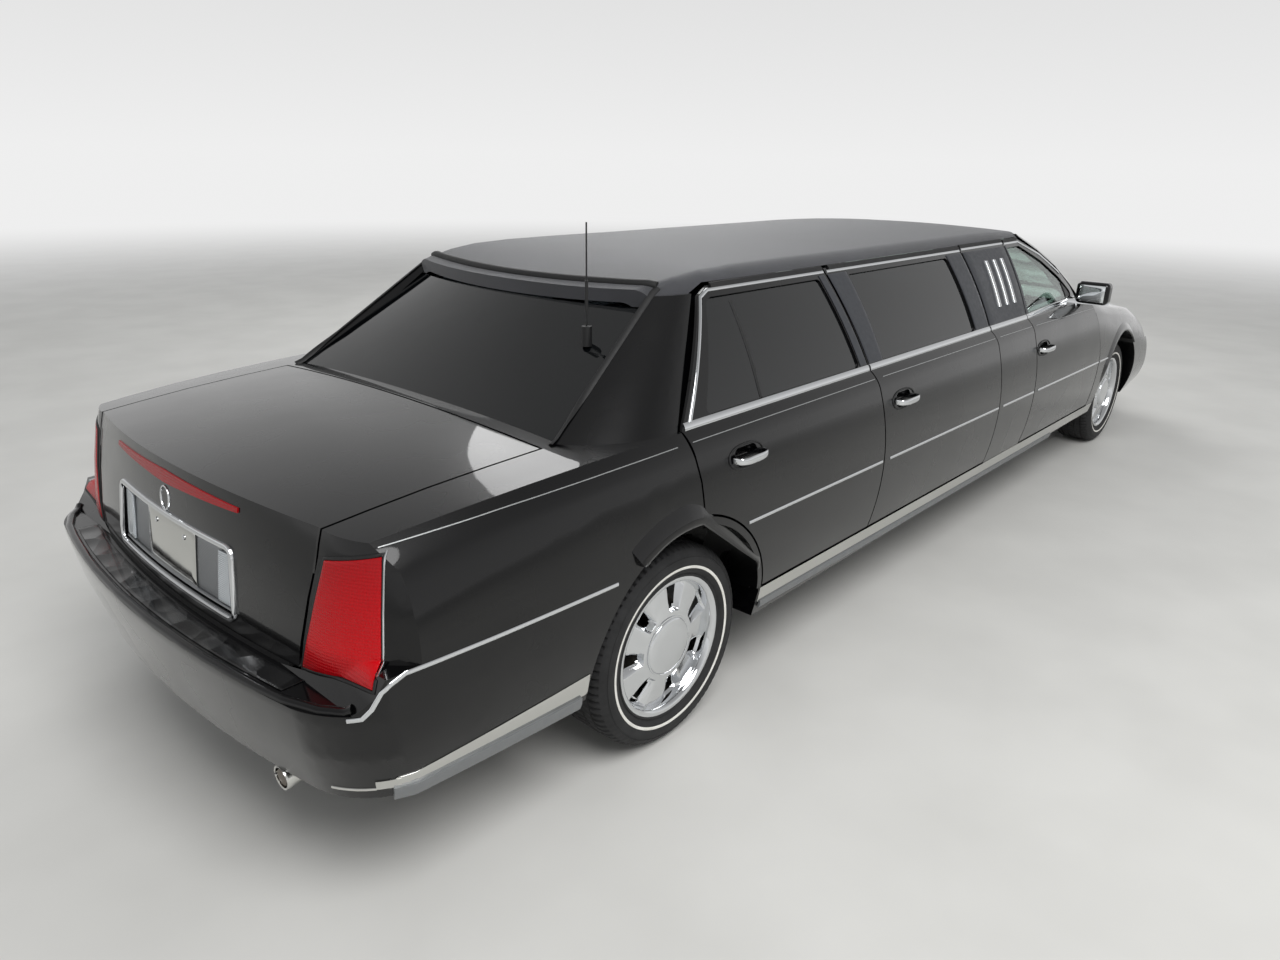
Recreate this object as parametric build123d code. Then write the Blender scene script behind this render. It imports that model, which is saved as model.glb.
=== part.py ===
from build123d import *
import os

# Six-door stretched limousine, in mm.
# X runs forwards, Y to the left, Z up; the origin is on the ground, midway along and across the car.

# Lengths along the car, from the tail to the nose
rear_overhang = 1200
door_start = 60
rear_door_length = 1105
middle_door_length = 1165
filler_length = 475
front_door_length = 1135
dash_to_axle = 513
front_overhang = 1134

# Side wall of the cabin: half widths and heights of its section
half_width = 945
wide_z = 640
foot_half = 905
foot_z = 285
shoulder_half = 906
shoulder_z = 930
belt_half = 862
belt_z = 1005
belt_ledge = 6
side_bulge = 12
eave_half = 632
eave_z = 1376
glass_taper = 72

# Walls, seams and seals
wall_inner_half = 810
frame_depth = 52
skin_depth = 10
panel_depth = 32
roof_depth = 42
door_flange = 18
seam_gap = 7.5
upper_gap = 9.5
seal_gap = 13
seat_gap = 0.3
seam_bulge = 30
seam_lean_b = -40
seam_lean_c = 20
seam_lean_d = 75
frame_top_z = 1366
arch_flange = 30

# Door hinges
hinge_setback = 60
hinge_cover = 17
hinge_radius = 6
hinge_height = 40
hinge_plate = 8

# Wheels, tyres and suspension
tyre_radius = 330
wheel_centre_z = tyre_radius
tyre_width = 225
tyre_half_track = 788
rim_radius = 222
rim_width = 196
hub_radius = 62
cap_radius = 98
dish_inner = 40
disc_radius = 150
stub_radius = 24
spokes = 7
seat_top = 600
dash_half = 690
lens_half = 377
plate_half = 352
plate_low = 662
plate_high = 826
plate_depth = 14
plate_hole_spacing = 177.8
plate_hole_z = 790
plate_hole_radius = 3
steer_half = 712
joint_radius = 11
rail_half = 300
tip_setback = 95
rear_panel_half, rear_panel_top_half = 600, 530
rear_step_z = 583
front_step_z = 560
handle_length = 150
handle_height = 26
handle_thickness = 9
handle_foot = 16
handle_reach = 28
handle_gap = 9
cup_depth = 15
grip_radius = 185
grip_thickness = 28
arch_radius = 395
arch_rise = 15

# Floors, glass and trim
floor_z = 235
floor_thickness = 25
boot_floor_z = 430
sill_inner_half = 700
glass_thickness = 5
glass_inset = 8
band_depth = 4
band_height = 58

# Places along the car that follow from the lengths
wheelbase = (door_start + rear_door_length + middle_door_length + filler_length
             + front_door_length + dash_to_axle)
length = rear_overhang + wheelbase + front_overhang
tail = -length / 2
nose = length / 2
rear_axle = tail + rear_overhang
front_axle = nose - front_overhang
seam_a = rear_axle + door_start
seam_b = seam_a + rear_door_length
seam_c = seam_b + middle_door_length
seam_d = seam_c + filler_length
seam_e = seam_d + front_door_length
rail_z = frame_top_z + upper_gap
hinge_half = half_width - hinge_cover

os.makedirs("parts", exist_ok=True)


def save(shape, node):
    """Write one node's solids."""
    export_step(Compound(list(shape.solids())), f"parts/{node}.step")


def other_side(shape):
    """The right-hand twin of a left-hand shape."""
    return Compound(list(mirror(shape, about=Plane.XZ).solids()))


def both_sides(shape):
    """A left-hand shape and its right-hand twin."""
    return Compound(list(shape.solids()) + list(other_side(shape).solids()))


def block(x_from, x_to, y_from, y_to, z_from, z_to):
    """Box between two corners."""
    middle = ((x_from + x_to) / 2, (y_from + y_to) / 2, (z_from + z_to) / 2)
    return Pos(*middle) * Box(x_to - x_from, y_to - y_from, z_to - z_from)


def cross_tube(x, z, radius, y_from, y_to):
    """Round bar across the car."""
    return Pos(x, (y_from + y_to) / 2, z) * Rot(90, 0, 0) * Cylinder(radius, abs(y_to - y_from))


def long_tube(y, z, radius, x_from, x_to):
    """Round bar along the car."""
    return Pos((x_from + x_to) / 2, y, z) * Rot(0, 90, 0) * Cylinder(radius, abs(x_to - x_from))


def polygon(points):
    """Flat side-view face of (x, z) points."""
    return make_face(Polyline(*[(x, 0, z) for x, z in points], close=True))


def across(face, reach=1100):
    """A side-view face run across the left half of the car."""
    return extrude(face, amount=reach, dir=(0, 1, 0))


def plan_prism(points, z_from, z_to):
    """Plan-view outline of (x, y) points, run upwards."""
    wire = Polyline(*[(x, y, z_from) for x, y in points], close=True)
    return extrude(make_face(wire), amount=z_to - z_from, dir=(0, 0, 1))


def rounded(face, radius):
    """A flat face with its corners rounded."""
    return fillet(face.vertices(), radius)


def arch_cut(axle_x, radius, y_from=0):
    """Round wheel opening through the left half of the car."""
    return cross_tube(axle_x, wheel_centre_z + arch_rise, radius, y_from, 1100)


def sill_top(x):
    """Height of the line along the doors' lower edges, which falls towards the nose."""
    return 412 - 0.0155 * (x - seam_a)


# Side wall of the cabin
def wall_face(x, taper, kind):
    """Section of the side wall at x: whole wall, outer skin, pane or inner post."""
    low = [(foot_half, foot_z), (half_width, wide_z), (shoulder_half, shoulder_z)]
    turn = [low[2], (shoulder_half - 16, shoulder_z + 42), (belt_half, belt_z)]
    base = (belt_half - belt_ledge - taper, belt_z + 3)
    top = (eave_half - 0.3 * taper, eave_z)
    crown = ((base[0] + top[0]) / 2 + side_bulge, (base[1] + top[1]) / 2 + side_bulge * 0.6)
    post_face = frame_depth + seal_gap
    start, end = {"whole": (0, frame_depth), "skin": (0, skin_depth), "post": (post_face, post_face + 45),
                  "pane": (glass_inset, glass_inset + glass_thickness), "band": (-band_depth, 0)}[kind]

    def place(point, depth):
        return (x, point[0] - depth, point[1])

    upper = [ThreePointArc(place(base, start), place(crown, start), place(top, start)),
             Line(place(top, start), place(top, end)),
             ThreePointArc(place(top, end), place(crown, end), place(base, end))]
    if kind == "post":
        face = wall_inner_half - seal_gap
        outline = [(x, face, belt_z - 50), (x, face, foot_z), (x, face - 75, foot_z),
                   (x, face - 75, belt_z - 110)]
        edges = upper + [Line(place(base, end), outline[3]), Line(outline[3], outline[2]),
                         Line(outline[2], outline[1]), Line(outline[1], outline[0]),
                         Line(outline[0], place(base, start))]
        return make_face(Wire(edges))
    outer = [ThreePointArc(*[place(p, start) for p in low]), ThreePointArc(*[place(p, start) for p in turn]),
             Line(place(turn[2], start), place(base, start))]
    if kind == "whole":
        corner = (x, wall_inner_half, belt_z - 50)
        heel = (x, wall_inner_half, foot_z)
        inner = [Line(place(base, end), corner), Line(corner, heel), Line(heel, place(low[0], start))]
    else:
        inner = [Line(place(base, end), place(turn[2], end)),
                 ThreePointArc(*[place(p, end) for p in reversed(turn)]),
                 ThreePointArc(*[place(p, end) for p in reversed(low)]),
                 Line(place(low[0], end), place(low[0], start))]
    return make_face(Wire(outer + upper + inner))


def wall(x_from, x_to, kind):
    """Left-hand side wall between two places; ahead of the filler it draws in to the windscreen."""
    if x_to <= seam_d + 100:
        return extrude(wall_face(x_from, 0, kind), amount=x_to - x_from, dir=(1, 0, 0))
    tapers = [glass_taper * max(0, x - seam_d) / front_door_length for x in (x_from, x_to)]
    return loft([wall_face(x_from, tapers[0], kind), wall_face(x_to, tapers[1], kind)], ruled=True)


def seam(x, lean, low, high):
    """Foot, bulge, belt and top of a door seam at x, each moved along the car by its gap."""
    return ((x - 14 + low, 0, sill_top(x)), (x + seam_bulge + low, 0, wide_z),
            (x + low, 0, belt_z), (x + lean + high, 0, frame_top_z))


# Doors, in side view
def rear_door_face():
    foot, bulge, belt, top = seam(seam_b, seam_lean_b, -seam_gap / 2, -seam_gap / 2)
    back = [(seam_a + 360, 0, frame_top_z), (seam_a + 292, 0, frame_top_z - 26), (seam_a - 8, 0, belt_z),
            (seam_a + 18, 0, 860), (seam_a + 30, 0, sill_top(seam_a)), foot]
    edges = [ThreePointArc(foot, bulge, belt), Line(belt, top), Line(top, back[0])]
    edges += [Line(a, b) for a, b in zip(back, back[1:])]
    return make_face(Wire(edges))


def middle_door_face():
    front = seam(seam_c, seam_lean_c, -seam_gap / 2, -seam_gap / 2)
    back = seam(seam_b, seam_lean_b, seam_gap / 2, upper_gap - seam_gap / 2)
    return make_face(Wire([ThreePointArc(*front[:3]), Line(front[2], front[3]), Line(front[3], back[3]),
                           Line(back[3], back[2]), ThreePointArc(*reversed(back[:3])),
                           Line(back[0], front[0])]))


def front_door_face():
    back = seam(seam_d, seam_lean_d, seam_gap / 2, upper_gap - seam_gap / 2)
    x = seam_e - seam_gap / 2
    front = [(x - 6, 0, sill_top(x)), (x, 0, wide_z + 20), (x - 62, 0, 846), (x - 155, 0, belt_z - 25),
             (x - 245, 0, 1078), (x - 390, 0, 1180), (x - 590, 0, 1282), (x - 820, 0, frame_top_z)]
    edges = [Line(a, b) for a, b in zip(front, front[1:])]
    edges += [Line(front[-1], back[3]), Line(back[3], back[2]), ThreePointArc(*reversed(back[:3])),
              Line(back[0], front[0])]
    return make_face(Wire(edges))


def filler_face():
    back = seam(seam_c, seam_lean_c, seam_gap / 2, upper_gap - seam_gap / 2)
    front = seam(seam_d, seam_lean_d, -seam_gap / 2, -seam_gap / 2)
    heel = (back[0][0], 0, sill_top(back[0][0]) - seam_gap)
    toe = (front[0][0], 0, sill_top(front[0][0]) - seam_gap)
    head = (front[3][0], 0, rail_z)
    neck = (back[3][0], 0, rail_z)
    return make_face(Wire([Line(toe, front[0]), ThreePointArc(*front[:3]), Line(front[2], front[3]),
                           Line(front[3], head), Line(head, neck), Line(neck, back[3]),
                           Line(back[3], back[2]), ThreePointArc(*reversed(back[:3])),
                           Line(back[0], heel), Line(heel, toe)]))


# Window openings, in side view
window_foot_z = belt_z + 21
window_top_z = frame_top_z - 32
rear_window = [(seam_a + 115, window_foot_z), (seam_b - 62, window_foot_z), (seam_b - 100, window_top_z),
               (seam_a + 350, window_top_z), (seam_a + 318, window_top_z - 12)]
middle_window = [(seam_b + 120, window_foot_z), (seam_c - 160, window_foot_z),
                 (seam_c - 158, window_top_z), (seam_b + 112, window_top_z)]
front_window = [(seam_d + 45, window_foot_z), (seam_e - 240, window_foot_z), (seam_e - 292, 1068),
                (seam_e - 415, 1144), (seam_e - 615, 1244), (seam_e - 850, window_top_z),
                (seam_d + 105, window_top_z)]


def door(face, window, x_from, x_to, hinge_x):
    """Left-hand door: outer skin, inner frame set back from its edge, window and hinge ears."""
    core = wall(x_from, x_to, "whole") & across(offset(face, amount=-door_flange, kind=Kind.INTERSECTION))
    core -= block(hinge_x - 20, hinge_x + 300, 0, 1000, 0, belt_z - 60)
    leaf = (wall(x_from, x_to, "skin") & across(face)) + core
    leaf -= across(rounded(polygon(window), 16))
    for z in hinge_heights:
        leaf -= Pos(hinge_x, hinge_half, z) * Cylinder(hinge_radius + 0.8, hinge_height + 2 * seat_gap)
        for side in (-1, 1):
            low = z + side * (hinge_height / 2 + seat_gap)
            ear = block(hinge_x - 26, hinge_x + hinge_radius, hinge_half - 34, hinge_half + 2,
                        min(low, low + side * hinge_plate), max(low, low + side * hinge_plate))
            leaf += ear
    return leaf


hinge_heights = (wide_z - 130, wide_z + 90)


def hinge_leaves(hinge_x):
    """Barrels and plates that carry one door from the post inside it."""
    parts = None
    for z in hinge_heights:
        leaf = Pos(hinge_x, hinge_half, z) * Cylinder(hinge_radius, hinge_height)
        leaf += block(hinge_x - hinge_radius, hinge_x, wall_inner_half - seal_gap - 1, hinge_half,
                      z - hinge_height / 2, z + hinge_height / 2)
        parts = leaf if parts is None else parts + leaf
    return parts


def pane(window, x_from, x_to):
    """Side window glass."""
    return wall(x_from, x_to, "pane") & across(rounded(polygon(window), 16))


mirror_x = seam_e - 335
mirror_half = 1020
mirror_z = belt_z + 62
hinges = {"rear": seam_b + seam_bulge - hinge_setback, "middle": seam_c + seam_bulge - hinge_setback,
          "front": seam_e - hinge_setback}
span = {"rear": (seam_a - 40, seam_b + 60), "middle": (seam_b - 60, seam_c + 60),
        "front": (seam_d - 20, seam_e + 20)}
handles = {"rear": (rear_axle + 302, 890), "middle": (seam_b + 190, 874), "front": (seam_d + 128, 850)}
doors = {"rear": (rear_door_face, rear_window), "middle": (middle_door_face, middle_window),
         "front": (front_door_face, front_window)}

def wall_half(z):
    """Half width of the wall between its foot and its shoulder, near enough for what stands on it."""
    points = ((foot_z, foot_half), (wide_z, half_width), (shoulder_z, shoulder_half))
    half = 0
    for z_i, half_i in points:
        share = half_i
        for z_j, _ in points:
            if z_j != z_i:
                share *= (z - z_j) / (z_i - z_j)
        half += share
    return half


def handle_cup(x, z):
    """Finger pocket behind a door handle."""
    wide, high = handle_length / 2 - handle_foot, handle_height / 2 + 16
    face = polygon([(x - wide, z - high), (x + wide, z - high), (x + wide, z + high), (x - wide, z + high)])
    return across(rounded(face, high - 5)) & block(tail, nose, wall_half(z) - cup_depth, 1100, 0, 1200)


def handle(x, z):
    """Left pull handle: a rounded bar on two feet, with room for fingers behind it."""
    face = wall_half(z) + handle_gap
    bar = block(x - handle_length / 2, x + handle_length / 2, face, face + handle_thickness,
                z - handle_height / 2, z + handle_height / 2)
    bar = fillet(bar.edges().filter_by(Axis.Y), handle_height / 2 - 1)
    for foot_x in (x - handle_length / 2 + handle_foot, x + handle_length / 2 - 2 * handle_foot):
        bar += block(foot_x, foot_x + handle_foot, face - handle_reach, face + 1, z - 8, z + 8)
    return bar


def mirror_head():
    """Left outside mirror and the foot that joins it to the door."""
    head = fillet(block(mirror_x - 45, mirror_x + 40, mirror_half - 175, mirror_half, mirror_z - 60,
                        mirror_z + 62).edges(), 26)
    foot = block(mirror_x - 25, mirror_x + 40, belt_half - 46, mirror_half - 140, belt_z - 20,
                 belt_z + 20)
    return head + foot


for name, (outline, window) in doors.items():
    leaf = door(outline(), window, *span[name], hinges[name])
    if name == "rear":
        leaf -= arch_cut(rear_axle, arch_radius + arch_flange)
        leaf -= arch_cut(rear_axle, arch_radius + arch_flange + door_flange) & block(
            tail, nose, 0, half_width - 45, 0, 1500)
    if name == "front":
        leaf += mirror_head()
    leaf -= handle_cup(*handles[name])
    leaf += handle(*handles[name])
    glass = pane(window, *span[name])
    save(leaf, f"door_{name}_left")
    save(other_side(leaf), f"door_{name}_right")
    save(glass, f"glass_{name}_left")
    save(other_side(glass), f"glass_{name}_right")

filler = wall(seam_c - 60, seam_d + 100, "whole") & across(filler_face())
save(both_sides(filler), "filler_panels")


# Body shells behind and ahead of the doors, lofted along the car
# x, half width, foot half, foot height, shoulder half, shoulder height, edge half, edge height, crown
rear_rows = [(430, 945, 905, 285, 906, 930, 862, 1005, 1030),
             (0, 945, 905, 285, 906, 930, 862, 1005, 1034),
             (-330, 941, 902, 300, 898, 925, 848, 998, 1030),
             (-700, 930, 893, 330, 880, 908, 822, 978, 1012),
             (-1000, 910, 875, 345, 850, 885, 790, 950, 985),
             (-1215, 885, 850, 350, 820, 868, 762, 930, 965)]
front_rows = [(-720, 945, 905, 285, 906, 930, 862, 1003, 1012),
              (-520, 945, 905, 285, 906, 910, 857, 972, 1003),
              (-300, 945, 905, 280, 903, 872, 850, 928, 985),
              (50, 943, 903, 270, 896, 826, 838, 880, 955),
              (450, 922, 885, 260, 868, 776, 806, 828, 905),
              (750, 885, 850, 255, 822, 716, 748, 772, 855),
              (1150, 800, 770, 250, 730, 640, 660, 690, 760)]


def between(rows):
    """The rows of a loft with one more between each two, on a smooth curve through them."""
    smooth = [rows[0]]
    for i in range(1, len(rows)):
        near, far = rows[i - 1], rows[i]
        if i == 1:
            terms = ((3, near), (6, far), (-1, rows[i + 1]))
        elif i == len(rows) - 1:
            terms = ((-1, rows[i - 2]), (6, near), (3, far))
        else:
            terms = ((-0.5, rows[i - 2]), (4.5, near), (4.5, far), (-0.5, rows[i + 1]))
        smooth.append(tuple(sum(share * row[k] for share, row in terms) / 8 for k in range(len(near))))
        smooth.append(far)
    return smooth


def body_face(axle_x, row, inset):
    """Full-width section of a body shell, drawn in by the panel's depth."""
    x, half, foot, foot_height, shoulder, shoulder_height, edge, edge_height, crown = row
    x = axle_x + x
    foot, half, shoulder, edge = (size - inset for size in (foot, half, shoulder, edge))
    drop = 0.6 * inset
    low_z = foot_height - (60 if inset else 0)

    def arcs(side):
        return [ThreePointArc((x, side * foot, foot_height), (x, side * half, wide_z),
                              (x, side * shoulder, shoulder_height)),
                ThreePointArc((x, side * shoulder, shoulder_height),
                              (x, side * (0.36 * shoulder + 0.64 * edge + 9),
                               0.44 * shoulder_height + 0.56 * edge_height - 0.5 * drop),
                              (x, side * edge, edge_height - drop))]

    edge_z = edge_height - drop
    roof = ThreePointArc((x, edge, edge_z), (x, 0, crown - inset), (x, -edge, edge_z))
    edges = arcs(1) + [roof] + list(reversed(arcs(-1)))
    if inset:
        edges += [Line((x, -foot, foot_height), (x, -foot, low_z)),
                  Line((x, -foot, low_z), (x, foot, low_z)),
                  Line((x, foot, low_z), (x, foot, foot_height))]
    else:
        edges.append(Line((x, -foot, foot_height), (x, foot, foot_height)))
    return make_face(Wire(edges))


def end_face(axle_x, row, out, grow=0):
    """Plan-view outline of the tail (out -1) or the nose (out 1) at one height."""
    z, centre, knee_x, knee_y, side_x, side_y = row
    centre, knee_x, side_x = (axle_x + out * (x + grow) for x in (centre, knee_x, side_x))
    knee_y, side_y = knee_y + grow, side_y + grow
    bend_x = 0.42 * knee_x + 0.58 * side_x + out * 24
    bend_y = 0.42 * knee_y + 0.58 * side_y + 22
    back_x = axle_x - out * 700
    turn_x = side_x - out * 160
    wide = 1000 + grow
    edges = [ThreePointArc((knee_x, -knee_y, z), (centre, 0, z), (knee_x, knee_y, z)),
             ThreePointArc((knee_x, knee_y, z), (bend_x, bend_y, z), (side_x, side_y, z)),
             Line((side_x, side_y, z), (turn_x, wide, z)),
             Line((turn_x, wide, z), (back_x, wide, z)),
             Line((back_x, wide, z), (back_x, -wide, z)),
             Line((back_x, -wide, z), (turn_x, -wide, z)),
             Line((turn_x, -wide, z), (side_x, -side_y, z)),
             ThreePointArc((side_x, -side_y, z), (bend_x, -bend_y, z), (knee_x, -knee_y, z))]
    return make_face(Wire(edges))


def end_solid(axle_x, rows, out, grow=0):
    """Everything inwards of the tail or the nose, or of a bumper's face."""
    return loft([end_face(axle_x, row, out, grow) for row in rows], ruled=True)


# Ends in plan, by height: z, centre, knee x and y, side x and y, measured outwards from the axle
tail_rows = [(200, 1092, 1046, 640, 905, 925), (560, 1092, 1046, 640, 905, 925),
             (800, 1070, 1016, 650, 880, 908), (1060, 1034, 946, 660, 840, 850)]
rear_bumper_rows = [(345, 1150, 1085, 700, 930, 880), (480, 1182, 1116, 730, 945, 915),
                    (585, 1200, 1130, 740, 950, 925), (700, 1194, 1126, 740, 945, 925)]
nose_rows = [(200, 1085, 955, 620, 700, 900), (560, 1085, 955, 620, 700, 900),
             (720, 1045, 915, 610, 660, 870), (900, 960, 840, 590, 600, 820),
             (1060, 880, 760, 570, 520, 790)]
front_bumper_rows = [(255, 1090, 950, 620, 770, 850), (420, 1134, 985, 650, 770, 895),
                     (560, 1128, 975, 650, 760, 890), (700, 1110, 955, 640, 740, 880)]

tail_rows, nose_rows = between(tail_rows), between(nose_rows)
rear_outer = loft([body_face(rear_axle, row, 0) for row in between(rear_rows)], ruled=True)
rear_inner = loft([body_face(rear_axle, row, panel_depth) for row in rear_rows], ruled=True)
front_outer = loft([body_face(front_axle, row, 0) for row in between(front_rows)], ruled=True)
front_inner = loft([body_face(front_axle, row, panel_depth) for row in front_rows], ruled=True)
tail_outer = end_solid(rear_axle, tail_rows, -1)
tail_inner = end_solid(rear_axle, tail_rows, -1, -panel_depth)
nose_outer = end_solid(front_axle, nose_rows, 1)
nose_inner = end_solid(front_axle, nose_rows, 1, -panel_depth)
rear_shell = (rear_outer & tail_outer) - (rear_inner & tail_inner)
front_shell = (front_outer & nose_outer) - (front_inner & nose_inner)

# Body seams at the ends
boot_seam_x = rear_axle - 345
boot_side_front = 688
boot_side_rear = 664
boot_face_half = 618
boot_foot_z = 618
deck_half = 790
bonnet_seam_x = front_axle - 330
bonnet_side_back = 790
bonnet_side_front = 590
bonnet_nose_z = 742
lamp_foot_z = 600
bumper_top_z = 603
aerial_x = rear_axle + 12
aerial_y = -510
aerial_z = 1240
strip_z = 688
nose_foot_z = 585
panel_wall = 8
apron_half = 465
housing_inner_half = 632
front_housing_foot = 300
rear_housing_foot = 390
wing_inner_half = 930
tail_panel_x = rear_axle - 1056
grille_half = 360
grille_low = 594
grille_high = 728
grille_bars = 7
grille_rows = 5


def left_half(shape):
    return shape & block(tail - 100, nose + 100, 0, 1200, -100, 1600)


def front_view_prism(points, x_from, x_to):
    """Front-view outline of (y, z) points, run along the car."""
    wire = Polyline(*[(x_from, y, z) for y, z in points], close=True)
    return extrude(make_face(wire), amount=x_to - x_from, dir=(1, 0, 0))


def boot_region(gap):
    """The boot lid's share of the rear shell, grown by a gap."""
    front, rear, face_side = boot_side_front + gap, boot_side_rear + gap, boot_face_half + gap
    top = plan_prism([(boot_seam_x + gap, -front), (boot_seam_x + gap, front),
                      (tail, rear - 8), (tail, 8 - rear)], 860, 1100)
    face = front_view_prism([(-face_side, boot_foot_z - gap), (face_side, boot_foot_z - gap),
                             (rear, 905), (-rear, 905)], tail, rear_axle - 900)
    return top + face


def lamp_region():
    """The left tail lamp's share of the rear corner, as seen from behind and from the side."""
    rear_view = front_view_prism([(boot_face_half + seam_gap, lamp_foot_z), (1000, lamp_foot_z),
                                  (1000, 985), (boot_side_rear + 60, 915),
                                  (boot_side_rear + seam_gap, 902)], tail - 50, rear_axle - 700)
    side_view = across(polygon([(tail, 500), (rear_axle - 990, 500), (rear_axle - 985, 670),
                                (rear_axle - 900, 1100), (tail, 1100)]))
    return rear_view & side_view


def main_solid(shape):
    """The largest solid of a cut shape, without its offcuts."""
    return max(shape.solids(), key=lambda solid: solid.volume)


def door_gap(face):
    """A door's outline grown by the seam, through the left half of the car."""
    return across(offset(face, amount=seam_gap, kind=Kind.INTERSECTION))


rear_left, front_left = left_half(rear_shell), left_half(front_shell)
boot_lid = rear_shell & boot_region(0)
bumper_share = across(polygon([(tail - 50, bumper_top_z), (rear_axle - 1055, bumper_top_z),
                               (rear_axle - 1015, bumper_top_z + 40), (rear_axle - 992, strip_z - 3),
                               (rear_axle + 30, strip_z + 9), (rear_axle + 30, 0), (tail - 50, 0)]))
lamp = (rear_left & lamp_region()) - bumper_share
above_sill = across(polygon([(tail, sill_top(tail) - seam_gap), (nose, sill_top(nose) - seam_gap),
                             (nose, 1600), (tail, 1600)]))
quarter = rear_left - boot_region(seam_gap) - lamp_region() - bumper_share
quarter -= door_gap(rear_door_face()) - arch_cut(rear_axle, arch_radius + arch_flange - seam_gap)
quarter -= arch_cut(rear_axle, arch_radius)
quarter -= block(boot_seam_x + seam_gap, rear_axle + 600, -10, deck_half, 900, 1100)
quarter = main_solid(quarter & above_sill)


def pillar_face(z, points):
    """Plan section of a rear pillar: three points on its outer arc, then its inner corners."""
    outer = [(rear_axle + x, y, z) for x, y in points[:3]]
    inner = [(rear_axle + x, y, z) for x, y in points[3:]]
    corners = [outer[2]] + inner + [outer[0]]
    return make_face(Wire([ThreePointArc(*outer)] + [Line(a, b) for a, b in zip(corners, corners[1:])]))


# Rear pillars, between the rear doors and the back glass
pillar_foot = [(31, 856), (-150, 826), (-322, 694), (-262, 650), (-120, 752), (31, 795)]
pillar_head = [(345, 640), (280, 630), (205, 588), (232, 556), (290, 585), (345, 596)]
rear_pillar = loft([pillar_face(992, pillar_foot), pillar_face(1348, pillar_head)], ruled=True)

# Roof, lofted along the car: x, eave half, eave height, crown
roof_rows = [(60, 570, 1292, 1345), (330, 622, 1356, 1398), (620, 632, 1376, 1428), (1250, 632, 1376, 1444),
             (2300, 632, 1376, 1445), (2850, 630, 1374, 1436), (3420, 612, 1345, 1392)]
roof_tail = (rear_axle + 110, rear_axle + 235)
roof_nose = (seam_e - 670, seam_e - 810)


def roof_face(row, inset):
    """Full-width section of the roof."""
    x, half, eave, crown = row
    x = rear_axle + x
    half, eave, crown = half - 0.8 * inset, eave - 0.8 * inset, crown - inset
    low = eave - 120
    foot = half + 76
    side = [((x, s * foot, low), (x, s * half, eave), (x, s * (half - 21), eave + 23),
             (x, s * (half - 62), eave + 38)) for s in (1, -1)]
    edges = [Line(side[0][0], side[0][1]), ThreePointArc(*side[0][1:]),
             ThreePointArc(side[0][3], (x, 0, crown), side[1][3]), ThreePointArc(*reversed(side[1][1:])),
             Line(side[1][1], side[1][0]), Line(side[1][0], side[0][0])]
    return make_face(Wire(edges))


def roof_plan(grow):
    """The roof's share in plan, between the bowed edges of the back glass and the windscreen."""
    corner, middle = roof_tail[1] - grow, roof_tail[0] - grow
    back = [(corner, 700, 1200), (middle, 0, 1200), (corner, -700, 1200)]
    corner, middle = roof_nose[1] + grow, roof_nose[0] + grow
    front = [(corner, -700, 1200), (middle, 0, 1200), (corner, 700, 1200)]
    face = make_face(Wire([ThreePointArc(*back), Line(back[2], front[0]), ThreePointArc(*front),
                           Line(front[2], back[0])]))
    return extrude(face, amount=300, dir=(0, 0, 1))


roof_edge = [(rear_axle - 100, 1290), (rear_axle + 205, 1314), (seam_a + 286, 1349), (seam_a + 357, rail_z),
             (seam_e - 818, rail_z), (seam_e - 585, 1291), (seam_e, 1291), (seam_e, 1600), (tail, 1600),
             (tail, 1290)]
roof_outer = loft([roof_face(row, 0) for row in between(roof_rows)], ruled=True)
roof_inner = loft([roof_face(row, roof_depth) for row in roof_rows], ruled=True)
above_edge = across(polygon(roof_edge)) + other_side(across(polygon(roof_edge)))
roof = (roof_outer - roof_inner) & roof_plan(0) & above_edge


def glass_face(z, centre_x, corner_x, corner_half, depth):
    """Plan section of a bowed glass at one height, from its outer face inwards."""
    outer = [(corner_x, -corner_half, z), (centre_x, 0, z), (corner_x, corner_half, z)]
    inner = [(x + depth, y, z) for x, y, _ in outer]
    return make_face(Wire([ThreePointArc(*outer), Line(outer[2], inner[2]), ThreePointArc(*reversed(inner)),
                           Line(inner[0], outer[0])]))


# Back glass and windscreen: height, centre x, corner x, corner half
back_rows = [(1000, rear_axle - 330, rear_axle - 300, 684), (1400, rear_axle + 240, rear_axle + 345, 560)]
screen_rows = [(985, seam_e + 150, seam_e - 80, 775), (1200, seam_e - 170, seam_e - 380, 694),
               (1420, seam_e - 790, seam_e - 990, 575)]
glass_run = 2.2 * glass_thickness
back_glass = loft([glass_face(*row, glass_run) for row in back_rows], ruled=True)
screen_rows = between(screen_rows)
screen = loft([glass_face(*row, -glass_run) for row in screen_rows], ruled=True)
back_glass -= roof_plan(0)
screen -= roof_plan(0)
behind_back = loft([glass_face(*row, 500) for row in back_rows], ruled=True)
behind_screen = loft([glass_face(*row, -700) for row in screen_rows], ruled=True)
roof_share = roof_plan(0) & above_edge & roof_outer
rear_pillar -= roof_share
rear_pillar -= loft([glass_face(*row, glass_run + 2) for row in back_rows], ruled=True)

# Windscreen pillars, lofted along the car: x, then y and z of four corners from the door's edge round
screen_pillar_rows = [(-790, 630, 1375, 612, 1390, 560, 1383, 575, 1350),
                      (-600, 673, 1298, 648, 1320, 592, 1304, 612, 1262),
                      (-410, 722, 1203, 699, 1228, 642, 1203, 665, 1158),
                      (-250, 766, 1097, 747, 1122, 692, 1090, 708, 1045),
                      (-90, 789, 1000, 783, 1003, 735, 985, 745, 950)]


def screen_pillar_face(row):
    x = seam_e + row[0]
    corners = [(x, row[i], row[i + 1]) for i in (1, 3, 5, 7)]
    return make_face(Polyline(*corners, close=True))


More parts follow.
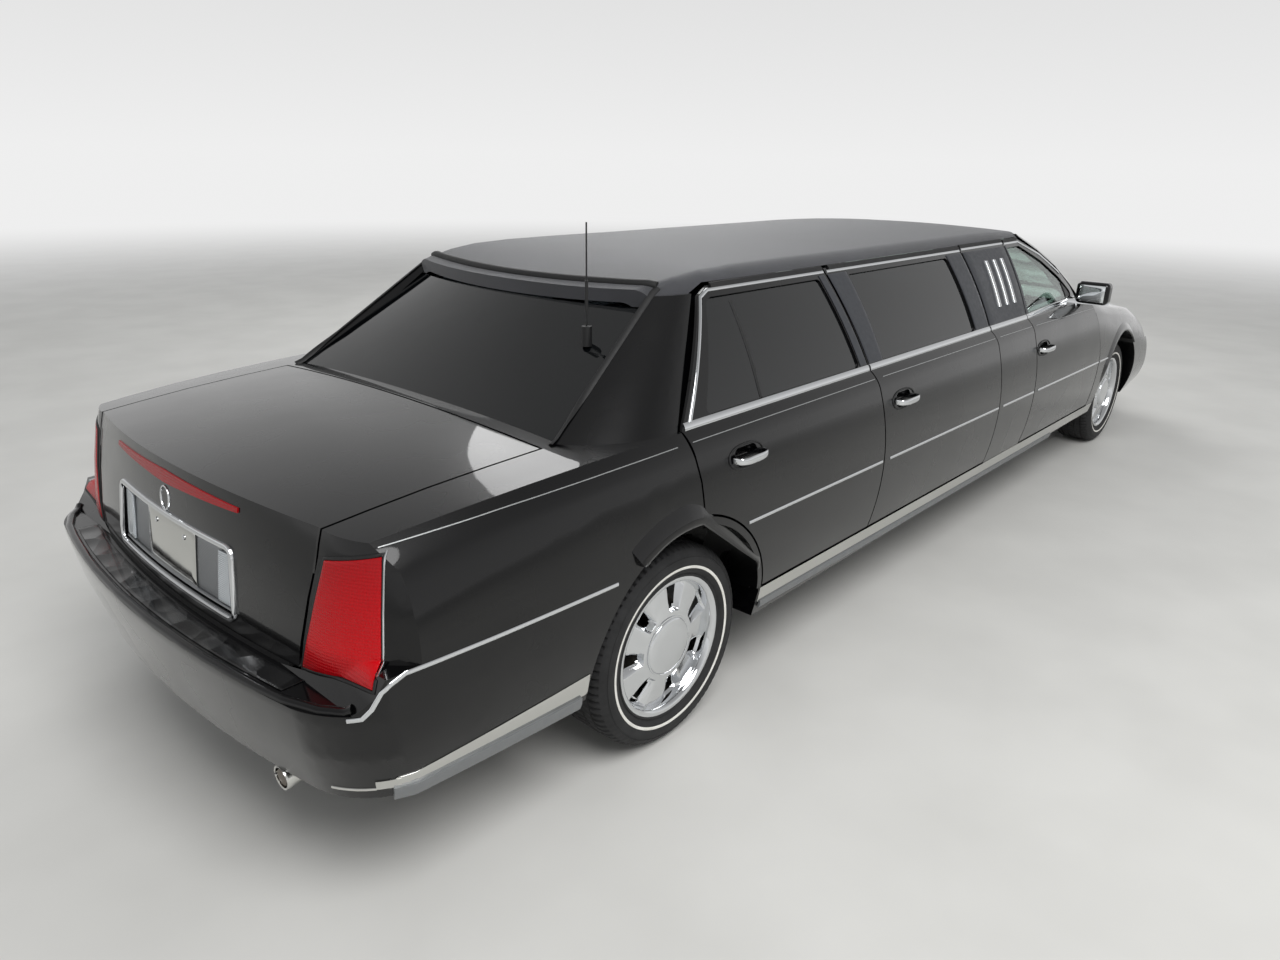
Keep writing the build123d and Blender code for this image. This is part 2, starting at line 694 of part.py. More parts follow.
screen_pillar = loft([screen_pillar_face(row) for row in screen_pillar_rows], ruled=True)
screen_pillar -= roof_share
screen_pillar -= loft([glass_face(*row, -glass_run - 2) for row in screen_rows], ruled=True)


# Wheel housings, closed towards the inside of the car
def wheelhouse(axle_x, inner_y, foot, inside):
    """Left-hand half tube over a wheel with its inner wall, cut to the inside of the body shell."""
    tube = arch_cut(axle_x, arch_radius + panel_wall, inner_y)
    tube -= arch_cut(axle_x, arch_radius, inner_y + panel_wall)
    return tube & inside & block(tail, nose, 0, wing_inner_half, foot, 1200)


# Bonnet, front wings and nose
def bonnet_region(gap):
    """The bonnet's share of the front shell, grown by a gap."""
    side_back, side_front = bonnet_side_back + gap, bonnet_side_front - 40 + gap
    return plan_prism([(bonnet_seam_x - gap, -side_back), (bonnet_seam_x - gap, side_back),
                       (nose, side_front), (nose, -side_front)], bonnet_nose_z - gap, 1100)


def nose_opening(y_from, y_to, z_from, z_to, radius):
    """Opening through the nose, as seen from the front."""
    corners = [(y_from, z_from), (y_to, z_from), (y_to, z_to), (y_from, z_to)]
    wire = make_face(Polyline(*[(front_axle + 600, y, z) for y, z in corners], close=True))
    return extrude(rounded(wire, radius), amount=600, dir=(1, 0, 0))


bonnet = front_shell & bonnet_region(0)
front_share = across(polygon([(front_axle + 300, 0), (front_axle + 300, 655), (front_axle + 900, 590),
                              (nose + 50, nose_foot_z), (nose + 50, 0)]))
lamp_opening = nose_opening(425, 960, nose_foot_z, 728, 14) & block(front_axle + 820, nose, 0, 1000, 0, 900)
grille_opening = nose_opening(-grille_half, grille_half, grille_low, grille_high, 14)
arm_slot = block(front_axle - 60, front_axle + 60, apron_half - 10, apron_half + 20, wheel_centre_z + 105,
                 wheel_centre_z + 162)
wing = front_left - bonnet_region(seam_gap) - door_gap(front_door_face()) - arch_cut(front_axle, arch_radius)
wing -= block(seam_e - 400, bonnet_seam_x - seam_gap + 1, -10, bonnet_side_back, 850, 1100)
wing = main_solid((wing & above_sill) - front_share - lamp_opening)
wing += wheelhouse(front_axle, apron_half, front_housing_foot, front_inner) - arm_slot
wings = wing + other_side(wing) - grille_opening
headlamp = (front_left & lamp_opening) - front_share


# Grille: a frame in the nose with upright and level bars behind its face
def nose_x(y, z):
    """Place of the nose's face at one point of the grille."""
    low, high = next(pair for pair in zip(nose_rows, nose_rows[1:]) if pair[1][0] >= z)
    share = (z - low[0]) / (high[0] - low[0])
    centre, knee_x, knee_y = (a + share * (b - a) for a, b in zip(low[1:4], high[1:4]))
    sag = centre - knee_x
    radius = (knee_y ** 2 + sag ** 2) / (2 * sag)
    return front_axle + centre - radius + (radius ** 2 - y ** 2) ** 0.5


grille_ring = grille_opening - nose_opening(-grille_half + 14, grille_half - 14, grille_low + 14,
                                            grille_high - 14, 6)
grille = (nose_outer & grille_ring) - nose_inner
for i in range(-grille_bars, grille_bars + 1):
    y = i * (grille_half - 14) / (grille_bars + 1)
    foot, head = nose_x(y, grille_low), nose_x(y, grille_high)
    side_view = polygon([(foot - 26, grille_low + 10), (foot - 7, grille_low + 10),
                         (head - 7, grille_high - 10), (head - 26, grille_high - 10)])
    grille += Pos(0, y - 2.5, 0) * extrude(side_view, amount=5, dir=(0, 1, 0))
for i in range(1, grille_rows):
    z = grille_low + 14 + i * (grille_high - grille_low - 28) / grille_rows
    rows = [[(nose_x(y, z) - depth, y, z - 2.5) for y in (-grille_half + 8, 0, grille_half - 8)]
            for depth in (9, 24)]
    strip = make_face(Wire([ThreePointArc(*rows[0]), Line(rows[0][2], rows[1][2]),
                            ThreePointArc(*reversed(rows[1])), Line(rows[1][0], rows[0][0])]))
    grille += extrude(strip, amount=5, dir=(0, 0, 1))

# Panel, shelf and bulkhead under the windscreen
firewall_x = seam_e + 45
plenum_x = bonnet_seam_x - seam_gap
cowl = front_shell & block(seam_e - 400, plenum_x, -bonnet_side_back, bonnet_side_back, 850, 1100)
front_door_gap = door_gap(front_door_face())
cowl = cowl - behind_screen - front_door_gap - other_side(front_door_gap)
cowl += screen_pillar
cowl += other_side(screen_pillar)
bulkhead = block(firewall_x, firewall_x + floor_thickness, -sill_inner_half, sill_inner_half, floor_z, 935)
bulkhead += block(firewall_x, plenum_x, -sill_inner_half, sill_inner_half, 915, 935)
bulkhead += block(plenum_x - 20, plenum_x, -sill_inner_half, sill_inner_half, 915, 1100) & front_inner
cowl += bulkhead

# Deck, parcel shelf and bulkhead between the boot and the cabin
riser_x = rear_axle + 420
deck = rear_shell & block(boot_seam_x + seam_gap, rear_axle - 150, -deck_half, deck_half, 900, 1100)
deck -= behind_back
deck += block(boot_seam_x + seam_gap, boot_seam_x + seam_gap + 20, -680, 680, 950, 1100) & rear_inner
deck += block(boot_seam_x + seam_gap, rear_axle - 180, -640, 640, 950, 970)
deck -= both_sides(rear_pillar)
floor_top = boot_floor_z + floor_thickness
lean = polygon([(rear_axle - 40, floor_top), (rear_axle - 20, floor_top), (rear_axle - 180, 970),
                (rear_axle - 200, 970)])
lean_half = across(lean) & block(tail, nose, 0, housing_inner_half, 0, 1000)
deck += lean_half + other_side(lean_half)

# Floor pan, riser, boot floor and rear panel
floor = block(riser_x, firewall_x + floor_thickness, -sill_inner_half, sill_inner_half, floor_z,
              floor_z + floor_thickness) - bulkhead
floor += block(riser_x, riser_x + floor_thickness, -sill_inner_half, sill_inner_half, floor_z,
               boot_floor_z + floor_thickness)
floor += block(tail_panel_x, riser_x + floor_thickness, -housing_inner_half, housing_inner_half,
               boot_floor_z, floor_top)
floor += block(tail_panel_x, tail_panel_x + 20, -rear_panel_half, rear_panel_half, boot_floor_z,
               rear_step_z - seat_gap)
floor += block(tail_panel_x, tail_panel_x + 20, -rear_panel_top_half, rear_panel_top_half, boot_floor_z,
               bumper_top_z)

# Sills, door posts and the hinge leaves on them
arch_reach = ((arch_radius + panel_wall) ** 2 - (wheel_centre_z + arch_rise - 340) ** 2) ** 0.5
sill_from = rear_axle + arch_reach
sill_to = front_axle - arch_reach
below_line = across(polygon([(tail, 0), (nose, 0), (nose, sill_top(nose) - seam_gap),
                             (tail, sill_top(tail) - seam_gap)]))
frame = extrude(wall_face(sill_from, 0, "whole"), amount=sill_to - sill_from, dir=(1, 0, 0))
frame += block(sill_from, sill_to, sill_inner_half, wall_inner_half, foot_z, 500)
frame &= below_line
frame -= arch_cut(rear_axle, arch_radius + panel_wall)
frame -= arch_cut(front_axle, arch_radius + panel_wall)
posts = wall(seam_b - 110, seam_b + 90, "post") & across(polygon(
    [(seam_b - 75, 0), (seam_b + 75, 0), (seam_b + 75, 900), (seam_b + 45, belt_z), (seam_b + 10, 1400),
     (seam_b - 90, 1400), (seam_b - 50, belt_z), (seam_b - 75, 900)]))
posts += wall(seam_c - 100, seam_d + 100, "post") & across(polygon(
    [(seam_c - 75, 0), (seam_d + 40, 0), (seam_d + 40, belt_z), (seam_d + 98, 1400), (seam_c - 25, 1400),
     (seam_c - 45, belt_z), (seam_c - 75, 900)]))
posts += wall(seam_e - 100, seam_e + 44, "post") & across(polygon(
    [(seam_e - 98, 0), (firewall_x + floor_thickness, 0), (firewall_x + floor_thickness, 880),
     (seam_e - 40, 900), (seam_e - 98, 860)]))
posts &= above_sill
posts -= roof
for name, hinge_x in hinges.items():
    posts += hinge_leaves(hinge_x)
frame += posts

# Bumper covers
def bumper(outer, inner, axle_x, rows, out, share, step_z, back_x, core):
    """Left half of a bumper cover: a shell with a closed step along its top, out to the body's end."""
    cover = left_half(outer) & end_solid(axle_x, rows, out) & share
    hollow = inner & end_solid(axle_x, rows, out, -panel_depth)
    open_part = block(min(back_x, axle_x - out * 700), max(back_x, axle_x - out * 700), -1, 1000, 0, 1200)
    return cover - (hollow & block(tail, nose, -1, 1000, 0, step_z)) - (hollow & open_part & core)


rear_bumper = bumper(rear_outer, rear_inner, rear_axle, rear_bumper_rows, -1, bumper_share,
                     rear_step_z, tail_panel_x, tail_outer)
rear_bumper -= arch_cut(rear_axle, arch_radius)
front_bumper = bumper(front_outer, front_inner, front_axle, front_bumper_rows, 1, front_share,
                      front_step_z, front_axle + 1045, nose_outer)
front_bumper -= arch_cut(front_axle, arch_radius)
quarter += wheelhouse(rear_axle, housing_inner_half, rear_housing_foot, rear_inner)
quarter += rear_pillar

# Polished bands along the sills and behind the rear wheels
def band(x_from, x_to):
    """Band standing proud of the wall along the line under the doors, with a flange below it."""
    face = wall_face(x_from, 0, "band")
    strip = extrude(face, amount=x_to - x_from, dir=(1, 0, 0))
    top = [(x, sill_top(x) - seam_gap) for x in (x_from, x_to)]
    foot = [(x, z - band_height) for x, z in reversed(top)]
    return strip & across(polygon(top + foot))


rockers = band(sill_from + 4, sill_to - 4)


# Wheels: rim with seven windows, tyre, and the stubs that they turn on
def ring(points, axle_x, centre_y):
    """Solid of revolution about a wheel's axle from (radius, offset outwards) points."""
    face = make_face(Polyline(*[(r, offset_y, 0) for r, offset_y in points], close=True))
    turned = revolve(face, axis=Axis.Y, revolution_arc=360)
    return Pos(axle_x, centre_y, wheel_centre_z) * turned


def rim(axle_x):
    """Left-hand rim: barrel with lips, hub, flat cap and seven spokes."""
    half = rim_width / 2
    barrel = [(rim_radius - 14, -half), (rim_radius + 12, -half), (rim_radius, -half + 8),
              (rim_radius, half - 8), (rim_radius + 12, half), (rim_radius - 8, half),
              (rim_radius - 20, half - 22), (rim_radius - 14, half - 80)]
    dish = [(0, dish_inner), (cap_radius, dish_inner), (rim_radius - 19, half - 58),
            (rim_radius - 19, half - 30), (rim_radius - 34, half - 26), (cap_radius + 6, half - 8),
            (cap_radius, half - 2), (0, half + 2)]
    hub = [(stub_radius + seat_gap, -38), (hub_radius, -38), (hub_radius, dish_inner + 2),
           (0, dish_inner + 2), (0, dish_inner - 12), (stub_radius + seat_gap, dish_inner - 12)]
    disc = [(hub_radius - 2, -30), (disc_radius, -30), (disc_radius, -6), (hub_radius - 2, -6)]
    wheel = ring(barrel, 0, 0) + ring(dish, 0, 0)
    window = polygon([(-26, cap_radius + 12), (26, cap_radius + 12), (52, rim_radius - 40),
                      (-52, rim_radius - 40)])
    opening = extrude(window, amount=rim_width, dir=(0, 1, 0))
    for i in range(spokes):
        wheel -= Pos(0, dish_inner - 5, wheel_centre_z) * Rot(0, (i + 0.5) * 360 / spokes, 0) * opening
    return Pos(axle_x, tyre_half_track, 0) * (wheel + ring(hub, 0, 0) + ring(disc, 0, 0))


def tyre(axle_x):
    """Left-hand tyre, seated on the rim's barrel and between its lips."""
    half, lip = tyre_width / 2, rim_width / 2
    side = [(rim_radius, lip - 8), (rim_radius + 56, half), (tyre_radius, half - 26)]
    outline = side + [(r, -offset_y) for r, offset_y in reversed(side)]
    return ring(outline, axle_x, tyre_half_track)


rear_rim, front_rim = rim(rear_axle), rim(front_axle)
rear_tyre, front_tyre = tyre(rear_axle), tyre(front_axle)
for name, rim_solid, tyre_solid in (("rear", rear_rim, rear_tyre), ("front", front_rim, front_tyre)):
    save(rim_solid, f"rim_{name}_left")
    save(other_side(rim_solid), f"rim_{name}_right")
    save(tyre_solid, f"tyre_{name}_left")
    save(other_side(tyre_solid), f"tyre_{name}_right")

# Steering knuckles, turning on an upper and a lower ball pin
stub_end = tyre_half_track + dish_inner - 14
knuckle = block(front_axle - 34, front_axle + 34, steer_half - 16, steer_half + 20, wheel_centre_z - 120,
                wheel_centre_z + 120)
knuckle += cross_tube(front_axle, wheel_centre_z, stub_radius, steer_half, stub_end)
for z in (wheel_centre_z - 120, wheel_centre_z + 120):
    knuckle += Pos(front_axle, steer_half, z) * Cylinder(joint_radius, 44)
save(knuckle, "knuckle_left")
save(other_side(knuckle), "knuckle_right")

# Axles, suspension arms, rails and engine
arm_low = block(front_axle - 40, front_axle + 40, rail_half + 60, steer_half + 24, wheel_centre_z - 146,
                wheel_centre_z - 121)
arm_high = block(front_axle - 26, front_axle + 26, apron_half - 25, steer_half + 24, wheel_centre_z + 121,
                 wheel_centre_z + 146)
pin_hole = Pos(front_axle, steer_half, wheel_centre_z) * Cylinder(joint_radius + seat_gap, 600)
chassis = block(front_axle - 640, front_axle + 760, rail_half, rail_half + 60, floor_z - 60, floor_z)
chassis += block(front_axle + 700, front_axle + 760, rail_half, rail_half + 60, floor_z - 60, 500)
chassis += block(front_axle + 700, front_axle + 1100, rail_half, rail_half + 60, 440, 500) & front_inner
chassis += block(front_axle - 60, front_axle + 60, 0, rail_half, floor_z - 60, floor_z - 10)
chassis += arm_low + arm_high
chassis += block(front_axle - 40, front_axle + 40, rail_half, apron_half - 20, floor_z - 20,
                 wheel_centre_z + 146)
chassis -= pin_hole
bumper_void = end_solid(front_axle, front_bumper_rows, 1, -panel_depth)
chassis -= block(front_axle + 900, nose, -10, 1000, 0, 700) - bumper_void
rear_beam = cross_tube(rear_axle, wheel_centre_z, 45, 0, tyre_half_track - 60)
rear_beam += cross_tube(rear_axle, wheel_centre_z, stub_radius, 0, stub_end)
spring_height = boot_floor_z - wheel_centre_z
rear_beam += Pos(rear_axle, 470, wheel_centre_z + spring_height / 2) * Cylinder(55, spring_height)
rear_beam += across(polygon([(rear_axle, 300), (rear_axle + 30, 345), (rear_axle + 400, floor_z + 5),
                             (riser_x, floor_z), (rear_axle + 560, floor_z),
                             (rear_axle + 430, floor_z - 40)])) & block(tail, nose, 440, 500, 0, 500)
engine = block(front_axle - 280, front_axle + 340, -260, 260, floor_z + 60, 790)
for side in (-1, 1):
    engine += block(front_axle + 100, front_axle + 180, min(side * 260, side * (rail_half + 60)),
                    max(side * 260, side * (rail_half + 60)), floor_z, floor_z + 90)
save(both_sides(rear_beam), "rear_axle_beam")
save(chassis + other_side(chassis), "front_subframe")
save(engine, "engine")

# Exhaust, hung under the boot floor, with its tip under the right end of the bumper
path = FilletPolyline((front_axle - 700, -200, 200), (rear_axle + 380, -200, 200),
                      (rear_axle + 170, -200, 402), (rear_axle - 330, -200, 402),
                      (rear_axle - 520, -570, 340), (tail + tip_setback, -580, 318), radius=70)
pipe = sweep(Plane(path @ 0, z_dir=path % 0) * Circle(22), path=path)
muffler = long_tube(-575, 335, 62, rear_axle - 950, rear_axle - 560)
hanger = block(rear_axle - 780, rear_axle - 740, -595, -555, 380, boot_floor_z)
exhaust = pipe + muffler + hanger
save(exhaust, "exhaust")
save(both_sides(rockers), "rocker_bands")


# Cabin: seats, dashboard and steering wheel
def seat(hip_x, seat_z, base_z, y_from, y_to, back_z):
    """One cushion, one leaning back and the base under them."""
    cushion = polygon([(hip_x, seat_z), (hip_x + 500, seat_z + 25), (hip_x + 520, seat_z - 60),
                       (hip_x + 470, seat_z - 120), (hip_x - 20, seat_z - 120)])
    back = polygon([(hip_x - 100 / 6 - seat_gap, seat_z - 100), (hip_x - seat_gap, seat_z),
                    (hip_x - 110, back_z), (hip_x - 150, back_z + 20), (hip_x - 200, back_z),
                    (hip_x - 130, seat_z - 100)])
    parts = []
    for face in (cushion, back):
        parts.append(Pos(0, y_from, 0) * extrude(face, amount=y_to - y_from, dir=(0, 1, 0)))
    parts.append(block(hip_x - 10, hip_x + 440, y_from + 60, y_to - 60, base_z, seat_z - 120))
    return parts


seats = []
for hip_x, base_z, spans in ((rear_axle + 110, boot_floor_z + floor_thickness, [(-600, 600)]),
                             (seam_b + 270, floor_z + floor_thickness, [(-640, 640)]),
                             (seam_d + 150, floor_z + floor_thickness, [(-630, -120), (120, 630)])):
    for y_from, y_to in spans:
        seats += seat(hip_x, seat_top, base_z, y_from, y_to, seat_top + 500)
dashboard = extrude(polygon([(firewall_x, 620), (firewall_x, 930), (seam_e - 60, 945), (seam_e - 190, 930),
                             (seam_e - 250, 880), (seam_e - 235, 760), (seam_e - 110, 620)]),
                    amount=2 * dash_half, dir=(0, 1, 0))
dashboard = Pos(0, -dash_half, 0) * dashboard
grip = Plane.XZ * Pos(grip_radius, 0) * RegularPolygon(grip_thickness / 2, 8)
steering_wheel = Rot(0, 64, 0) * revolve(grip, axis=Axis.Z, revolution_arc=360)
steering_wheel += Rot(0, 64, 0) * Pos(0, 0, 10) * Cylinder(62, 34)
for angle in (0, 120, 240):
    steering_wheel += Rot(0, 64, 0) * Rot(0, 0, angle + 180) * Pos(110, 0, 4) * Box(150, 30, 10)
steering_wheel += Rot(0, 64, 0) * Pos(0, 0, 140) * Cylinder(28, 260)
steering_wheel = Pos(seam_e - 420, 370, 830) * steering_wheel
steering_wheel -= dashboard
save(Compound(seats), "seats")
save(dashboard, "dashboard")
save(steering_wheel, "steering_wheel")

# High brake lamp on the boot lid, the number plate's recess, and the aerial
lens = end_solid(rear_axle, tail_rows, -1, 4) - tail_outer
lens &= front_view_prism([(-lens_half, 934), (0, 922), (lens_half, 934), (lens_half, 946), (0, 956),
                          (-lens_half, 946)], tail, rear_axle - 900)
recess = front_view_prism([(-plate_half, plate_low), (plate_half, plate_low), (plate_half - 12, plate_high),
                           (-plate_half + 12, plate_high)], tail, rear_axle - 950)
boot_lid -= recess - end_solid(rear_axle, tail_rows, -1, -plate_depth)
for side in (-1, 1):
    hole = Rot(0, 90, 0) * Cylinder(plate_hole_radius, 160)
    boot_lid -= Pos(rear_axle - 1050, side * plate_hole_spacing / 2, plate_hole_z) * hole
aerial = Pos(aerial_x, aerial_y, aerial_z) * (Cylinder(16, 60) + Pos(0, 0, 170) * Cylinder(2.5, 320)
                                              + Pos(0, 0, 120) * Cylinder(5, 90))
aerial -= loft([glass_face(*row, 300) for row in back_rows], ruled=True)
save(lens, "brake_lamp")
save(aerial, "aerial")
seals = (tail_outer - tail_inner) & block(tail, rear_axle - 900, -580, 580, bumper_top_z,
                                          boot_foot_z - seat_gap)
bonnet_seal = (nose_outer - nose_inner) & block(front_axle + 700, nose, -400, 400, bonnet_nose_z - seam_gap,
                                  bonnet_nose_z - seat_gap)
save(boot_lid, "boot_lid")
save(both_sides(lamp), "tail_lamps")
save(quarter + other_side(quarter), "rear_quarters")
save(wings, "front_wings")
save(bonnet, "bonnet")
save(roof, "roof")
save(back_glass, "back_glass")
save(screen, "windscreen")
save(cowl, "cowl")
save(deck, "rear_deck")
save(floor, "floor")
save(both_sides(frame), "side_frames")
save(rear_bumper + other_side(rear_bumper), "rear_bumper")
save(front_bumper + other_side(front_bumper), "front_bumper")
save(grille, "grille")
save(both_sides(headlamp), "headlamps")
save(Compound(list(seals.solids()) + list(bonnet_seal.solids())), "lid_seals")
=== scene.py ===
import bpy
import bmesh
import math
from mathutils import Matrix, Vector
from mathutils.bvhtree import BVHTree


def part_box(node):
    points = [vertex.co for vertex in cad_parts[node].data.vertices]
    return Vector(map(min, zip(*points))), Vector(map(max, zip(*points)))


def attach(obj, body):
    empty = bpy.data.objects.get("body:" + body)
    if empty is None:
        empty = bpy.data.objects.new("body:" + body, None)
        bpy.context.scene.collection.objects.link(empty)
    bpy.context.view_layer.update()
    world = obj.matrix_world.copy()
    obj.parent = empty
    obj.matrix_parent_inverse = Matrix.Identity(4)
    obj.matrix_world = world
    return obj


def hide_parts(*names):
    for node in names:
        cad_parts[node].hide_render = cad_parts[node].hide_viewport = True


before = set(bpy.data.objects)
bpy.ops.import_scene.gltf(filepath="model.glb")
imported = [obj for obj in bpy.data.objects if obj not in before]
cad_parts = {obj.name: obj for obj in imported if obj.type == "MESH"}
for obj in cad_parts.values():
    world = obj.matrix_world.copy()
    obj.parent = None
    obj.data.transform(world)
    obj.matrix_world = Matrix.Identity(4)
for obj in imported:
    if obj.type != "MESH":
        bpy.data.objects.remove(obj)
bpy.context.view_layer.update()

# Camera: stands behind the car's right rear corner at the height of the roof, looking forwards and down.
# Its place, turn and lens are those that put the wheels, the belt and the tail where the photo has them.
rear_axle = sum(corner.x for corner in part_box("tyre_rear_right")) / 2
front_axle = sum(corner.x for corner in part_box("tyre_front_right")) / 2
camera_place = Vector((rear_axle - 1.851, -2.392, 1.755))
camera_yaw, camera_pitch, camera_roll = 0.7270, 0.3529, 0.0179
photo_width, focal_pixels = 1280, 883.5

forward = Vector((math.cos(camera_pitch) * math.cos(camera_yaw),
                  math.cos(camera_pitch) * math.sin(camera_yaw), -math.sin(camera_pitch)))
level_right = Vector((math.sin(camera_yaw), -math.cos(camera_yaw), 0))
level_up = level_right.cross(forward)
right = level_right * math.cos(camera_roll) + level_up * math.sin(camera_roll)
up = level_up * math.cos(camera_roll) - level_right * math.sin(camera_roll)
camera_data = bpy.data.cameras.new("camera")
camera_data.sensor_width = 36
camera_data.lens = camera_data.sensor_width * focal_pixels / photo_width
camera = bpy.data.objects.new("camera", camera_data)
camera.matrix_world = Matrix.Translation(camera_place) @ Matrix((right, up, -forward)).transposed().to_4x4()
bpy.context.scene.collection.objects.link(camera)
bpy.context.scene.camera = camera
bpy.context.scene.view_settings.view_transform = "Standard"

# Studio: a plain pale floor, a pale room round it and two large soft lamps overhead and behind.
# The room's light on the car is level; the bright room is what polished surfaces show.


def linear(code):
    """An sRGB hex colour as linear red, green, blue and alpha."""
    parts = [int(code[i:i + 2], 16) / 255 for i in (0, 2, 4)]
    return [c / 12.92 if c <= 0.04045 else ((c + 0.055) / 1.055) ** 2.4 for c in parts] + [1]


def add_node(tree, kind, links=None, **settings):
    """Add one shader node, set its sockets or properties, and link its inputs."""
    node = tree.nodes.new(kind)
    for key, value in settings.items():
        if key in node.inputs:
            node.inputs[key].default_value = value
        else:
            setattr(node, key, value)
    for key, source in (links or {}).items():
        tree.links.new(source, node.inputs[key])
    return node


def finish(name, colour, roughness, metallic=0.0, **sockets):
    """A new material with its principled shader's constant values; returns the tree and the shader."""
    material = bpy.data.materials.new(name)
    material.use_nodes = True
    material.diffuse_color = linear(colour)
    shader = material.node_tree.nodes["Principled BSDF"]
    shader.inputs["Base Color"].default_value = linear(colour)
    shader.inputs["Roughness"].default_value = roughness
    shader.inputs["Metallic"].default_value = metallic
    for key, value in sockets.items():
        shader.inputs[key.replace("_", " ")].default_value = value
    return material, material.node_tree, shader


def vary(tree, shader, socket, scale, low, high):
    """Drive one socket between two values or colours by noise of a given scale per metre."""
    where = add_node(tree, "ShaderNodeTexCoord")
    noise = add_node(tree, "ShaderNodeTexNoise", {"Vector": where.outputs["Object"]}, Scale=scale, Detail=3.0)
    if isinstance(low, str):
        ramp = add_node(tree, "ShaderNodeValToRGB", {"Fac": noise.outputs["Fac"]})
        ramp.color_ramp.elements[0].position, ramp.color_ramp.elements[1].position = 0.35, 0.65
        ramp.color_ramp.elements[0].color, ramp.color_ramp.elements[1].color = linear(low), linear(high)
        tree.links.new(ramp.outputs["Color"], shader.inputs[socket])
    else:
        spread = add_node(tree, "ShaderNodeMapRange", {"Value": noise.outputs["Fac"]})
        spread.inputs["From Min"].default_value, spread.inputs["From Max"].default_value = 0.3, 0.7
        spread.inputs["To Min"].default_value, spread.inputs["To Max"].default_value = low, high
        tree.links.new(spread.outputs["Result"], shader.inputs[socket])
    return noise


def roughen(tree, shader, height, strength, distance, socket="Normal"):
    """Bump the shader's surface, or its coat's, by a height output."""
    bump = add_node(tree, "ShaderNodeBump", {"Height": height}, Strength=strength, Distance=distance)
    tree.links.new(bump.outputs["Normal"], shader.inputs[socket])


def relief(tree, shader, kind, output, strength, distance, **settings):
    """Bump the shader's surface by a texture laid over the object's own metres."""
    where = add_node(tree, "ShaderNodeTexCoord")
    texture = add_node(tree, kind, {"Vector": where.outputs["Object"]}, **settings)
    roughen(tree, shader, texture.outputs[output], strength, distance)


def watched(tree):
    """An output that is 1 for a ray straight from the camera, from a mirror or through a pane."""
    path = add_node(tree, "ShaderNodeLightPath")
    shown = path.outputs["Is Camera Ray"]
    for kind in ("Is Glossy Ray", "Is Transmission Ray"):
        math_node = add_node(tree, "ShaderNodeMath", {0: shown, 1: path.outputs[kind]}, operation="MAXIMUM")
        shown = math_node.outputs[0]
    return shown


floor_half, room_level, room_zenith = 60, 0.86, 0.36
fade_from, fade_to = 7.0, 22.0
bpy.ops.mesh.primitive_grid_add(x_subdivisions=8, y_subdivisions=8, size=2 * floor_half)
studio_floor = bpy.context.object
studio_floor.name = "studio_floor"
floor_paint, tree, shader = finish("floor_painted_screed", "D2D1CD", 0.62)
vary(tree, shader, "Base Color", 1.7, "CFCECA", "D6D5D1")
where = add_node(tree, "ShaderNodeTexCoord")
reach = add_node(tree, "ShaderNodeVectorMath", {0: where.outputs["Object"]}, operation="LENGTH")
far = add_node(tree, "ShaderNodeMapRange", {"Value": reach.outputs["Value"]}, interpolation_type="SMOOTHSTEP")
far.inputs["From Min"].default_value, far.inputs["From Max"].default_value = fade_from, fade_to
share = add_node(tree, "ShaderNodeMath", {0: watched(tree), 1: far.outputs["Result"]}, operation="MULTIPLY")
glow = add_node(tree, "ShaderNodeEmission", Color=(room_level, room_level, room_level, 1), Strength=1.0)
blend = add_node(tree, "ShaderNodeMixShader", {0: share.outputs[0], 1: shader.outputs[0], 2: glow.outputs[0]})
tree.links.new(blend.outputs[0], tree.nodes["Material Output"].inputs["Surface"])
studio_floor.data.materials.append(floor_paint)

world = bpy.data.worlds.new("room")
bpy.context.scene.world = world
world.use_nodes = True
tree = world.node_tree
tree.nodes.clear()
way = add_node(tree, "ShaderNodeTexCoord")
split = add_node(tree, "ShaderNodeSeparateXYZ", {"Vector": way.outputs["Generated"]})
ramp = add_node(tree, "ShaderNodeValToRGB", {"Fac": split.outputs["Z"]})
ramp.color_ramp.elements[0].color = (room_level, room_level, room_level, 1)
ramp.color_ramp.elements[1].color = (room_zenith, room_zenith, room_zenith, 1)
ramp.color_ramp.elements[1].position = 0.75
seen = add_node(tree, "ShaderNodeBackground", {"Color": ramp.outputs["Color"]}, Strength=1.0)
lit = add_node(tree, "ShaderNodeBackground", Color=linear("F4F6F8"), Strength=0.55)
mix = add_node(tree, "ShaderNodeMixShader", {0: watched(tree), 1: lit.outputs[0], 2: seen.outputs[0]})
add_node(tree, "ShaderNodeOutputWorld", {"Surface": mix.outputs[0]})

for lamp_name, place, aim, size, power in (("key_lamp", (-3.5, -4.5, 6.5), (0, 0, 0.6), 5.0, 420),
                                           ("fill_lamp", (4.5, 5.0, 5.5), (0.5, 0, 0.6), 5.0, 200)):
    lamp_data = bpy.data.lights.new(lamp_name, "AREA")
    lamp_data.shape, lamp_data.size, lamp_data.energy = "DISK", size, power
    lamp = bpy.data.objects.new(lamp_name, lamp_data)
    lamp.location = place
    lamp.rotation_euler = (Vector(aim) - Vector(place)).to_track_quat("-Z", "Y").to_euler()
    bpy.context.scene.collection.objects.link(lamp)

# Painted body: steel panels in gloss black enamel under clear lacquer, sprayed and flatted.
# The lacquer's faint orange peel, two to three millimetres apart, bends what it mirrors a little.


def smooth(node, angle=None):
    """Close the loose triangles of a carried-over node and shade its curves smoothly."""
    node.modifiers.new("weld", "WELD").merge_threshold = 0.00002
    if angle:
        split_edges = node.modifiers.new("creases", "EDGE_SPLIT")
        split_edges.split_angle = math.radians(angle)
    for polygon in node.data.polygons:
        polygon.use_smooth = True
    node.modifiers.new("level", "WEIGHTED_NORMAL").keep_sharp = True


